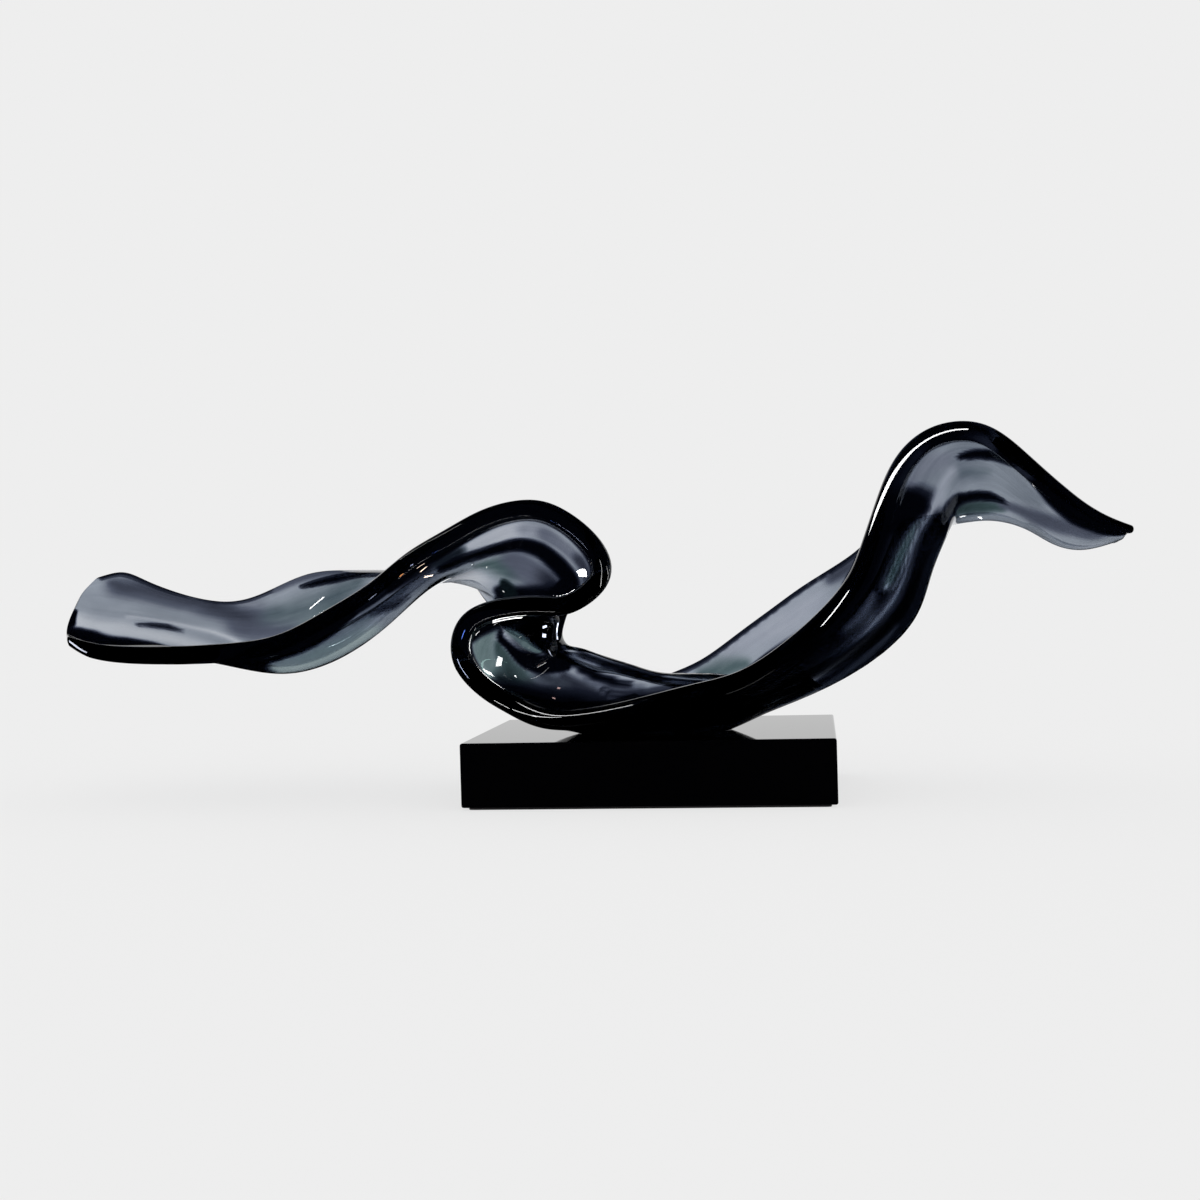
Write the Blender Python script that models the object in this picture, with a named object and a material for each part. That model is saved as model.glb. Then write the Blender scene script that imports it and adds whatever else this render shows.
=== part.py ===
"""Smoke-grey resin wave on a gloss black plinth.

The wave is one cast ribbon of clear smoked resin. It stands on a flat foot in the
lower trough and is bolted from below through the plinth into two metal inserts.
Lengths are metres, +Z is up, +X runs from the tongue to the raised tip, and the
origin is the middle of the underside of the felt.
"""
import math

import bmesh
import bpy
import numpy as np
from mathutils import Matrix, Vector

MM = 0.001

# Plinth: a block with eased edges
PLINTH_WIDTH = 254 * MM
PLINTH_DEPTH = 178 * MM
PLINTH_HEIGHT = 44 * MM
PLINTH_EDGE = 1.5 * MM

# Felt sheet under the plinth, set back from its edges
FELT_THICKNESS = 1.5 * MM
FELT_SETBACK = 4 * MM
FELT_CORNER = 3 * MM

# Wave ribbon: overall reach of its rails, and its walls
WAVE_LENGTH = 780 * MM
WAVE_HEIGHT = 200 * MM
WAVE_DEPTH = 137 * MM
FRONT_RIM = 14 * MM
BACK_RIM = 5.2 * MM
BACK_WALL = 5 * MM
RIM_BLEND = 7 * MM

# Fixings: a bolt with its washer, screwed into an insert set in the ribbon's foot
FIXING_SPACING = 46 * MM
BOLT_DIAMETER = 6 * MM
BOLT_GRIP = 8 * MM
BOLT_HEAD_DIAMETER = 10 * MM
BOLT_HEAD_HEIGHT = 6 * MM
BOLT_SOCKET = 5 * MM
BOLT_SOCKET_DEPTH = 3 * MM
WASHER_DIAMETER = 14 * MM
WASHER_THICKNESS = 1.6 * MM
INSERT_DIAMETER = 11 * MM
INSERT_LENGTH = 10 * MM
INSERT_FLOOR = 1.2 * MM
RECESS_ROOM = 3 * MM

# Clearances
SEAT_GAP = 0.3 * MM
BORE_CLEARANCE = 0.4 * MM
RECESS_CLEARANCE = 1 * MM

# Fineness of the mesh
RIBBON_STEPS = 112
WALL_STEPS = 13
RIM_STEPS = 5
END_ANGLES = (math.radians(35), math.radians(65), math.radians(85))
ROUND_SIDES = 32
CURVE_SAMPLES = 160
EDGE_STEPS = 3
CORNER_STEPS = 4

# How the ribbon's curves run between their rails, and where its wall turns thin
SECTION_EVENNESS = 0.5
TRAVEL_EVENNESS = 0.7
RIM_CROWDING = 0.45
CURL_CROWDING = 0.5
THIN_FROM = 0.4
THIN_BY = 0.75
BACK_RIM_TO_WALL = 1.1

# Edges sharper than these angles stay crisp
RIBBON_CREASE = math.radians(80)
ROUND_CREASE = math.radians(35)

# Heights that the pieces share
PLINTH_FOOT = FELT_THICKNESS + SEAT_GAP
PLINTH_TOP = PLINTH_FOOT + PLINTH_HEIGHT
RIBBON_SEAT = PLINTH_TOP + SEAT_GAP
RECESS_DEPTH = RECESS_ROOM + BOLT_HEAD_HEIGHT + WASHER_THICKNESS + 2 * SEAT_GAP
RECESS_CEILING = PLINTH_FOOT + RECESS_DEPTH

# The ribbon is drawn as stations from the tongue to the tip. A station gives the depth
# of its front and back rims, then x and height above the plinth at six rails, front rim
# first, and then the thickness of its wall and the share of the full front rim.
# All are millimetres on the drawing, which is the ribbon at its nominal reach.
DRAWN_LENGTH = 780
DRAWN_HEIGHT = 200
DRAWN_DEPTH = 137
RAIL_SHARE = (0, 0.2, 0.42, 0.66, 0.85, 1)
STATIONS = (
    # Tongue: a leaf with a low front rim and a high back rim
    (-34, 50, (-431, 74), (-440, 80), (-445, 91), (-449, 101), (-451, 110), (-447, 120), 4, 0.5),
    (-50, 62, (-407, 68), (-420, 73), (-430, 86), (-437, 98), (-438, 111), (-434, 123), 4.5, 0.8),
    (-56, 64, (-374, 64), (-386, 70), (-396, 81), (-405, 93), (-410, 104), (-412, 115), 5, 0.9),
    (-58, 66, (-302, 64), (-310, 56), (-319, 61), (-330, 75), (-339, 88), (-348, 97), 5, 1),
    # Trough that closes as the front rim climbs over the back rim
    (-58, 66, (-261, 70), (-266, 51), (-274, 52), (-286, 71), (-299, 92), (-311, 105), 5.5, 1),
    (-58, 66, (-226, 86), (-228, 62), (-236, 61), (-252, 79), (-266, 104), (-279, 117), 6, 1),
    (-57, 64, (-191, 106), (-192, 86), (-199, 83), (-217, 98), (-233, 114), (-245, 119), 6, 1),
    (-55, 62, (-164, 126), (-162, 110), (-166, 108), (-185, 108), (-201, 115), (-211, 118), 6, 1),
    (-53, 58, (-137, 141), (-134, 125), (-140, 118), (-157, 112), (-171, 113), (-181, 116), 5.5, 1),
    # Upper curl: the front rim goes over the crest and the wall hangs behind it
    (-52, 55, (-110, 154), (-108, 139), (-117, 124), (-135, 112), (-149, 110), (-157, 114), 5, 1),
    (-52, 52, (-84, 159), (-86, 144), (-97, 125), (-115, 107), (-131, 103), (-142, 108), 4.5, 1),
    (-52, 51, (-59, 152), (-63, 136), (-77, 117), (-97, 101), (-118, 95), (-135, 99), 4.5, 1),
    (-52, 50, (-31, 114), (-42, 109), (-58, 100), (-75, 90), (-95, 82), (-118, 81), 5, 1),
    # Neck: the front rim turns back under the crest
    (-55, 54, (-57, 92), (-61, 90), (-66, 85), (-72, 78), (-86, 70), (-101, 67), 6, 1),
    (-57, 57, (-74, 92), (-75, 86), (-72, 80), (-73, 72), (-82, 64), (-92, 60), 6, 1),
    # Lower curl: the front rim goes round the scoop
    (-61, 63, (-117, 86), (-109, 72), (-87, 64), (-72, 62), (-71, 51), (-74, 47), 5.5, 1),
    (-62, 66, (-129, 72), (-119, 58), (-92, 52), (-67, 58), (-63, 45), (-63, 41), 5, 1),
    (-63, 69, (-128, 54), (-119, 43), (-91, 40), (-59, 56), (-52, 39), (-52, 37), 5, 1),
    (-64, 71, (-114, 37), (-107, 30), (-81, 30), (-49, 52), (-40, 35), (-40, 33), 6, 1),
    (-64, 72, (-96, 25), (-87, 18), (-64, 20), (-35, 47), (-25, 29), (-26, 31), 8, 1),
    # Foot: the thick floor of the trough, with a fold behind it and then the back wall
    (-63, 73, (-72, 14), (-62, 9), (-45, 12), (-21, 42), (-10, 22), (-11, 29), 12, 1),
    (-62, 73, (-39, 14), (-34, 7), (-23, 8), (-4, 36), (6, 18), (8, 34), 16, 1),
    (-60, 72, (-6, 20), (-2, 7), (4, 8), (16, 33), (26, 16), (30, 44), 17, 1),
    (-58, 70, (29, 28), (34, 7), (37, 7), (40, 32), (49, 19), (56, 62), 16, 1),
    (-57, 68, (61, 36), (73, 19), (74, 17), (66, 31), (74, 30), (83, 81), 11, 1),
    # Limb that rises to the right, open to the upper left
    (-57, 66, (93, 54), (112, 37), (117, 32), (100, 43), (103, 54), (108, 98), 10, 1),
    (-57, 66, (140, 98), (167, 81), (180, 77), (161, 91), (150, 103), (147, 122), 9, 1),
    (-56, 64, (153, 124), (177, 113), (194, 109), (180, 117), (170, 128), (161, 134), 8, 1),
    (-54, 62, (164, 154), (185, 144), (205, 135), (200, 132), (189, 137), (179, 144), 7, 1),
    # Upper crest on the right, running out to the tip
    (-52, 60, (178, 183), (199, 174), (214, 158), (215, 144), (207, 142), (200, 146), 6, 1),
    (-50, 58, (198, 199), (215, 188), (226, 168), (228, 151), (225, 145), (219, 147), 5, 1),
    (-48, 56, (225, 201), (234, 187), (241, 169), (244, 153), (244, 146), (241, 148), 5, 1),
    (-46, 52, (251, 184), (255, 171), (259, 158), (263, 146), (266, 140), (267, 141), 5, 1),
    (-42, 42, (282, 156), (282, 147), (283, 139), (284, 131), (286, 127), (287, 129), 4.5, 0.9),
    (-36, 28, (305, 141), (304, 136), (303, 130), (304, 125), (304, 122), (306, 124), 4, 0.7),
    (-24, 8, (329, 133), (328, 132), (327, 130), (327, 128), (326, 127), (325, 126), 3, 0.4),
)
# Middle of the foot on the drawing, where the fixings stand
FOOT_X = -3
FOOT_Y = -24


def wave_place(x, y, height):
    """A place on the drawing, in millimetres, as metres above the plinth."""
    return np.array((
        x * WAVE_LENGTH / DRAWN_LENGTH,
        y * WAVE_DEPTH / DRAWN_DEPTH,
        PLINTH_TOP + height * WAVE_HEIGHT / DRAWN_HEIGHT,
    ))


def clear_scene():
    for item in list(bpy.data.objects):
        bpy.data.objects.remove(item)


def make_material(name, colour, roughness, metallic=0.0, clear=0.0):
    material = bpy.data.materials.new(name)
    material.use_nodes = True
    material.diffuse_color = (*colour, 1.0)
    shader = material.node_tree.nodes["Principled BSDF"]
    shader.inputs["Base Color"].default_value = (*colour, 1.0)
    shader.inputs["Roughness"].default_value = roughness
    shader.inputs["Metallic"].default_value = metallic
    shader.inputs["Transmission Weight"].default_value = clear
    return material


def add_piece(name, mesh_data, material, smooth_angle=None):
    """Put a bmesh in the scene as a named object and return it."""
    bmesh.ops.recalc_face_normals(mesh_data, faces=mesh_data.faces)
    mesh = bpy.data.meshes.new(name)
    mesh_data.to_mesh(mesh)
    mesh_data.free()
    mesh.materials.append(material)
    if smooth_angle is not None:
        mesh.shade_smooth()
        mesh.set_sharp_from_angle(angle=smooth_angle)
    piece = bpy.data.objects.new(name, mesh)
    bpy.context.scene.collection.objects.link(piece)
    return piece


def disc_column(radius, bottom, top, sides=ROUND_SIDES):
    """A round bar about the Z axis."""
    mesh_data = bmesh.new()
    bmesh.ops.create_cone(
        mesh_data, cap_ends=True, segments=sides, radius1=radius, radius2=radius,
        depth=top - bottom, matrix=Matrix.Translation((0, 0, (bottom + top) / 2)),
    )
    return mesh_data


def turned_piece(name, profile, material, place):
    """Spin a closed (radius, height) profile about the Z axis at place."""
    mesh_data = bmesh.new()
    outline = [mesh_data.verts.new((radius, 0, height)) for radius, height in profile]
    edges = [mesh_data.edges.new((outline[i - 1], outline[i])) for i in range(len(outline))]
    bmesh.ops.spin(
        mesh_data, geom=outline + edges, axis=(0, 0, 1), cent=(0, 0, 0),
        angle=math.tau, steps=ROUND_SIDES, use_merge=True,
    )
    bmesh.ops.remove_doubles(mesh_data, verts=mesh_data.verts, dist=1e-6)
    piece = add_piece(name, mesh_data, material, smooth_angle=ROUND_CREASE)
    piece.location = place
    return piece


def cut(piece, cutter, name):
    """Take a hidden cutter away from a piece with an exact Boolean."""
    cutter.hide_render = True
    cutter.display_type = "WIRE"
    boolean = piece.modifiers.new(name, "BOOLEAN")
    boolean.operation = "DIFFERENCE"
    boolean.object = cutter
    boolean.solver = "EXACT"


def add_cutter(name, mesh_data, place):
    cutter = add_piece(name, mesh_data, bpy.data.materials["cutter"])
    cutter.location = place
    return cutter


def box_mesh(width, depth, height):
    """A box centred on the Z axis that stands on Z = 0."""
    mesh_data = bmesh.new()
    bmesh.ops.create_cube(mesh_data, size=1, matrix=Matrix.Translation((0, 0, 0.5)))
    bmesh.ops.scale(mesh_data, vec=Vector((width, depth, height)), verts=mesh_data.verts)
    return mesh_data


def curve_through(places, knots, wanted):
    """Natural cubic curve through places at their knots, read at the wanted values."""
    count = len(knots)
    gap = np.diff(knots)
    system = np.eye(count)
    known = np.zeros_like(places, dtype=float)
    for i in range(1, count - 1):
        system[i, i - 1] = gap[i - 1]
        system[i, i] = 2 * (gap[i - 1] + gap[i])
        system[i, i + 1] = gap[i]
        after = (places[i + 1] - places[i]) / gap[i]
        before = (places[i] - places[i - 1]) / gap[i - 1]
        known[i] = 6 * (after - before)
    bend = np.linalg.solve(system, known.reshape(count, -1)).reshape(known.shape)
    span = np.clip(np.searchsorted(knots, wanted, side="right") - 1, 0, count - 2)
    shape = (-1,) + (1,) * (places.ndim - 1)
    width = gap[span].reshape(shape)
    left = ((knots[span + 1] - wanted) / gap[span]).reshape(shape)
    right = 1 - left
    pull = (left**3 - left) * bend[span] + (right**3 - right) * bend[span + 1]
    return left * places[span] + right * places[span + 1] + pull * width**2 / 6


def even_section(rail_places, steps):
    """Points across one section, a little closer together towards both rims."""
    reach = np.linalg.norm(np.diff(rail_places, axis=0), axis=1) ** SECTION_EVENNESS
    knots = np.concatenate(([0.0], np.cumsum(reach)))
    fine = curve_through(rail_places, knots, np.linspace(0, knots[-1], CURVE_SAMPLES))
    run = np.concatenate(([0.0], np.cumsum(np.linalg.norm(np.diff(fine, axis=0), axis=1))))
    even = np.linspace(0, 1, steps + 1)
    crowded = (1 - np.cos(math.pi * even)) / 2
    wanted = run[-1] * (even + RIM_CROWDING * (crowded - even))
    points = np.stack([np.interp(wanted, run, fine[:, axis]) for axis in range(3)], axis=1)
    return points, wanted


def ribbon_sheet():
    """Middle surface of the ribbon, with half its thickness at each point."""
    rails = []
    for front, back, *rest in STATIONS:
        sides = rest[:6]
        depth = [front + (back - front) * share for share in RAIL_SHARE]
        rails.append([wave_place(x, y, z) for (x, z), y in zip(sides, depth)])
    rails = np.array(rails)
    walls = np.array([(row[8] * MM, row[9]) for row in STATIONS])
    travel = np.linalg.norm(np.diff(rails, axis=0), axis=2).mean(axis=1) ** TRAVEL_EVENNESS
    knots = np.concatenate(([0.0], np.cumsum(travel)))
    even = np.linspace(0, knots[-1], RIBBON_STEPS + 1)
    station = np.linspace(0, len(knots) - 1, RIBBON_STEPS + 1)
    crowded = np.interp(station, range(len(knots)), knots)
    wanted = even + CURL_CROWDING * (crowded - even)
    rails = curve_through(rails, knots, wanted)
    walls = np.stack([np.interp(wanted, knots, walls[:, i]) for i in range(2)], axis=1)
    sheet = []
    half = []
    for section, (wall, rim_share) in zip(rails, walls):
        points, run = even_section(section, WALL_STEPS)
        across = run / run[-1]
        to_back = np.clip((across - THIN_FROM) / (THIN_BY - THIN_FROM), 0, 1)
        to_back = to_back * to_back * (3 - 2 * to_back)
        plain = wall / 2 + (min(wall, BACK_WALL) / 2 - wall / 2) * to_back
        front = FRONT_RIM / 2 * rim_share
        back = min(BACK_RIM, wall * BACK_RIM_TO_WALL) / 2
        near_front = np.exp(-((run / RIM_BLEND) ** 2))
        near_back = np.exp(-(((run[-1] - run) / RIM_BLEND) ** 2))
        sheet.append(points)
        half.append(plain + (front - plain) * near_front + (back - plain) * near_back)
    return np.array(sheet), np.array(half)


def unit(vectors):
    return vectors / np.linalg.norm(vectors, axis=-1, keepdims=True)


def round_ends(sheet, half):
    """Add steps past both ends of the sheet that round its end edges."""
    before = unit(sheet[0] - sheet[1]) * half[0][:, None]
    after = unit(sheet[-1] - sheet[-2]) * half[-1][:, None]
    first = [sheet[0] + math.sin(angle) * before for angle in reversed(END_ANGLES)]
    last = [sheet[-1] + math.sin(angle) * after for angle in END_ANGLES]
    first_half = [math.cos(angle) * half[0] for angle in reversed(END_ANGLES)]
    last_half = [math.cos(angle) * half[-1] for angle in END_ANGLES]
    return np.concatenate((first, sheet, last)), np.concatenate((first_half, half, last_half))


def ribbon_rings():
    """Closed rings round the ribbon: upper side, back rim, lower side, front rim."""
    sheet, half = round_ends(*ribbon_sheet())
    along = np.gradient(sheet, axis=0)
    across = np.gradient(sheet, axis=1)
    normal = unit(np.cross(along, across))
    turns = [math.pi * step / RIM_STEPS for step in range(1, RIM_STEPS)]
    rings = []
    for place, width, out, up in zip(sheet, half, unit(across), normal):
        side = width[:, None] * up
        back = [place[-1] + width[-1] * (math.cos(a) * up[-1] + math.sin(a) * out[-1]) for a in turns]
        front = [place[0] - width[0] * (math.cos(a) * up[0] + math.sin(a) * out[0]) for a in turns]
        rings.append([*(place + side), *back, *(place - side)[::-1], *front])
    return rings


def close_end(mesh_data, ring):
    """Close an end ring with a strip of faces between its upper and lower sides."""
    lower_start = WALL_STEPS + RIM_STEPS
    front_start = lower_start + WALL_STEPS + 1
    upper = ring[:WALL_STEPS + 1]
    back = ring[WALL_STEPS + 1:lower_start]
    lower = ring[lower_start:front_start][::-1]
    front = ring[front_start:]
    for i in range(WALL_STEPS):
        mesh_data.faces.new((upper[i], upper[i + 1], lower[i + 1], lower[i]))
    mesh_data.faces.new((upper[-1], *back, lower[-1]))
    mesh_data.faces.new((lower[0], *front, upper[0]))


def make_ribbon(material):
    mesh_data = bmesh.new()
    rings = [[mesh_data.verts.new(place) for place in ring] for ring in ribbon_rings()]
    count = len(rings[0])
    for ring, following in zip(rings, rings[1:]):
        for i in range(count):
            j = (i + 1) % count
            mesh_data.faces.new((ring[i], ring[j], following[j], following[i]))
    close_end(mesh_data, rings[0])
    close_end(mesh_data, rings[-1])
    bmesh.ops.triangulate(mesh_data, faces=mesh_data.faces)
    ribbon = add_piece("wave_ribbon", mesh_data, material, smooth_angle=RIBBON_CREASE)
    below = box_mesh(2 * WAVE_LENGTH, 2 * WAVE_DEPTH, PLINTH_HEIGHT)
    seat_cutter = add_cutter("seat_cutter", below, (0, 0, RIBBON_SEAT - PLINTH_HEIGHT))
    cut(ribbon, seat_cutter, "flat foot")
    for side, place in fixing_places().items():
        hole = disc_column(
            INSERT_DIAMETER / 2 + BORE_CLEARANCE,
            RIBBON_SEAT - SEAT_GAP,
            RIBBON_SEAT + INSERT_LENGTH + SEAT_GAP,
        )
        cut(ribbon, add_cutter("insert_cutter_" + side, hole, place), "insert hole " + side)
    return ribbon


def fixing_places():
    """Feet of the two fixing axes, left and right of the middle of the foot."""
    middle = wave_place(FOOT_X, FOOT_Y, 0)
    half = FIXING_SPACING / 2
    return {
        "left": Vector((middle[0] - half, middle[1], 0)),
        "right": Vector((middle[0] + half, middle[1], 0)),
    }


def make_plinth(material):
    plinth = add_piece("plinth", box_mesh(PLINTH_WIDTH, PLINTH_DEPTH, PLINTH_HEIGHT), material)
    plinth.location.z = PLINTH_FOOT
    bevel = plinth.modifiers.new("eased edges", "BEVEL")
    bevel.width = PLINTH_EDGE
    bevel.segments = EDGE_STEPS
    for side, place in fixing_places().items():
        recess = disc_column(
            WASHER_DIAMETER / 2 + RECESS_CLEARANCE, PLINTH_FOOT - SEAT_GAP, RECESS_CEILING
        )
        bore = disc_column(
            BOLT_DIAMETER / 2 + BORE_CLEARANCE, RECESS_CEILING - SEAT_GAP, PLINTH_TOP + SEAT_GAP
        )
        cut(plinth, add_cutter("recess_cutter_" + side, recess, place), "recess " + side)
        cut(plinth, add_cutter("bore_cutter_" + side, bore, place), "bore " + side)
    return plinth


def make_felt(material):
    felt = box_mesh(
        PLINTH_WIDTH - 2 * FELT_SETBACK, PLINTH_DEPTH - 2 * FELT_SETBACK, FELT_THICKNESS
    )
    upright = [
        edge for edge in felt.edges
        if abs(edge.verts[0].co.z - edge.verts[1].co.z) > FELT_THICKNESS / 2
    ]
    bmesh.ops.bevel(
        felt, geom=upright, offset=FELT_CORNER, segments=CORNER_STEPS, profile=0.5, affect="EDGES"
    )
    return add_piece("felt_base", felt, material)


def make_fixing(side, place, steel, brass):
    washer_top = RECESS_CEILING - SEAT_GAP
    washer_foot = washer_top - WASHER_THICKNESS
    head_top = washer_foot - SEAT_GAP
    head_foot = head_top - BOLT_HEAD_HEIGHT
    bolt_end = RIBBON_SEAT + BOLT_GRIP
    bore = BOLT_DIAMETER / 2 + BORE_CLEARANCE
    turned_piece("washer_" + side, (
        (bore, washer_foot), (WASHER_DIAMETER / 2, washer_foot),
        (WASHER_DIAMETER / 2, washer_top), (bore, washer_top),
    ), steel, place)
    shaft = disc_column(BOLT_HEAD_DIAMETER / 2, head_foot, head_top)
    bolt = add_piece("bolt_" + side, shaft, steel, smooth_angle=ROUND_CREASE)
    bolt.location = place
    shank = disc_column(BOLT_DIAMETER / 2, head_top - SEAT_GAP, bolt_end)
    shank = add_cutter("bolt_shank_" + side, shank, place)
    cut(bolt, shank, "shank")
    bolt.modifiers["shank"].operation = "UNION"
    socket = disc_column(
        BOLT_SOCKET / math.sqrt(3), head_foot - SEAT_GAP, head_foot + BOLT_SOCKET_DEPTH, sides=6
    )
    cut(bolt, add_cutter("socket_cutter_" + side, socket, place), "hex socket")
    insert_foot = RIBBON_SEAT
    insert_top = RIBBON_SEAT + INSERT_LENGTH
    bore_top = insert_top - INSERT_FLOOR
    insert = disc_column(INSERT_DIAMETER / 2, insert_foot, insert_top)
    insert = add_piece("insert_" + side, insert, brass, smooth_angle=ROUND_CREASE)
    insert.location = place
    thread = disc_column(bore, insert_foot - SEAT_GAP, bore_top)
    cut(insert, add_cutter("thread_cutter_" + side, thread, place), "threaded bore")


def main():
    clear_scene()
    make_material("cutter", (0.8, 0.1, 0.1), 0.8)
    resin = make_material("smoked resin", (0.16, 0.19, 0.21), 0.05, clear=0.9)
    lacquer = make_material("black gloss lacquer", (0.004, 0.004, 0.005), 0.06)
    felt = make_material("black felt", (0.012, 0.012, 0.013), 0.95)
    steel = make_material("zinc plated steel", (0.62, 0.63, 0.65), 0.3, metallic=1.0)
    brass = make_material("brass", (0.72, 0.52, 0.25), 0.3, metallic=1.0)
    make_ribbon(resin)
    make_plinth(lacquer)
    make_felt(felt)
    for side, place in fixing_places().items():
        make_fixing(side, place, steel, brass)


main()
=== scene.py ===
import math

import bpy
import numpy as np
from bpy.props import FloatProperty, FloatVectorProperty, PointerProperty
from bpy.types import Operator, Panel, PropertyGroup
from mathutils import Matrix, Vector


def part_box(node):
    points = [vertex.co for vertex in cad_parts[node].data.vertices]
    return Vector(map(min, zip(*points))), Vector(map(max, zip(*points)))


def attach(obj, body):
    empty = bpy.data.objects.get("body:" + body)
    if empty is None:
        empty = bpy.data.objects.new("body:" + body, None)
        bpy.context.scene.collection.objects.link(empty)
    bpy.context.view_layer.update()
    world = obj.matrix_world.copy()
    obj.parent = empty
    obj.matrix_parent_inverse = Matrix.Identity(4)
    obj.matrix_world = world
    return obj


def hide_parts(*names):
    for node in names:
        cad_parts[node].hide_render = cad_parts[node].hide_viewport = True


bl_info = {
    "name": "Resin wave sculpture",
    "version": (1, 0, 0),
    "blender": (4, 5, 0),
    "location": "3D View > Sidebar > Resin wave",
    "description": "Dresses a smoke-grey resin wave and its gloss black plinth around their packed frame",
    "category": "Object",
}

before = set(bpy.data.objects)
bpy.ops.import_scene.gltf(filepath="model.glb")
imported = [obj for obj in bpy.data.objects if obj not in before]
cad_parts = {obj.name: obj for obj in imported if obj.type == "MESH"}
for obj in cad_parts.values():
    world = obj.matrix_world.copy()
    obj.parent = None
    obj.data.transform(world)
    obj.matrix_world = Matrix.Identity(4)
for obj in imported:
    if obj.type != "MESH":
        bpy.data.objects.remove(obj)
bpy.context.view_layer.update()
RIBBON_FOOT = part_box("wave_ribbon")[0].z
PLINTH_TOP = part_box("plinth")[1].z

MM = 0.001
SIDES = ("left", "right")


def linear(hex_colour):
    """An sRGB hex colour as linear red, green and blue."""
    channels = [int(hex_colour[i:i + 2], 16) / 255 for i in (1, 3, 5)]
    return tuple(c / 12.92 if c <= 0.04045 else ((c + 0.055) / 1.055) ** 2.4 for c in channels)


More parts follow.
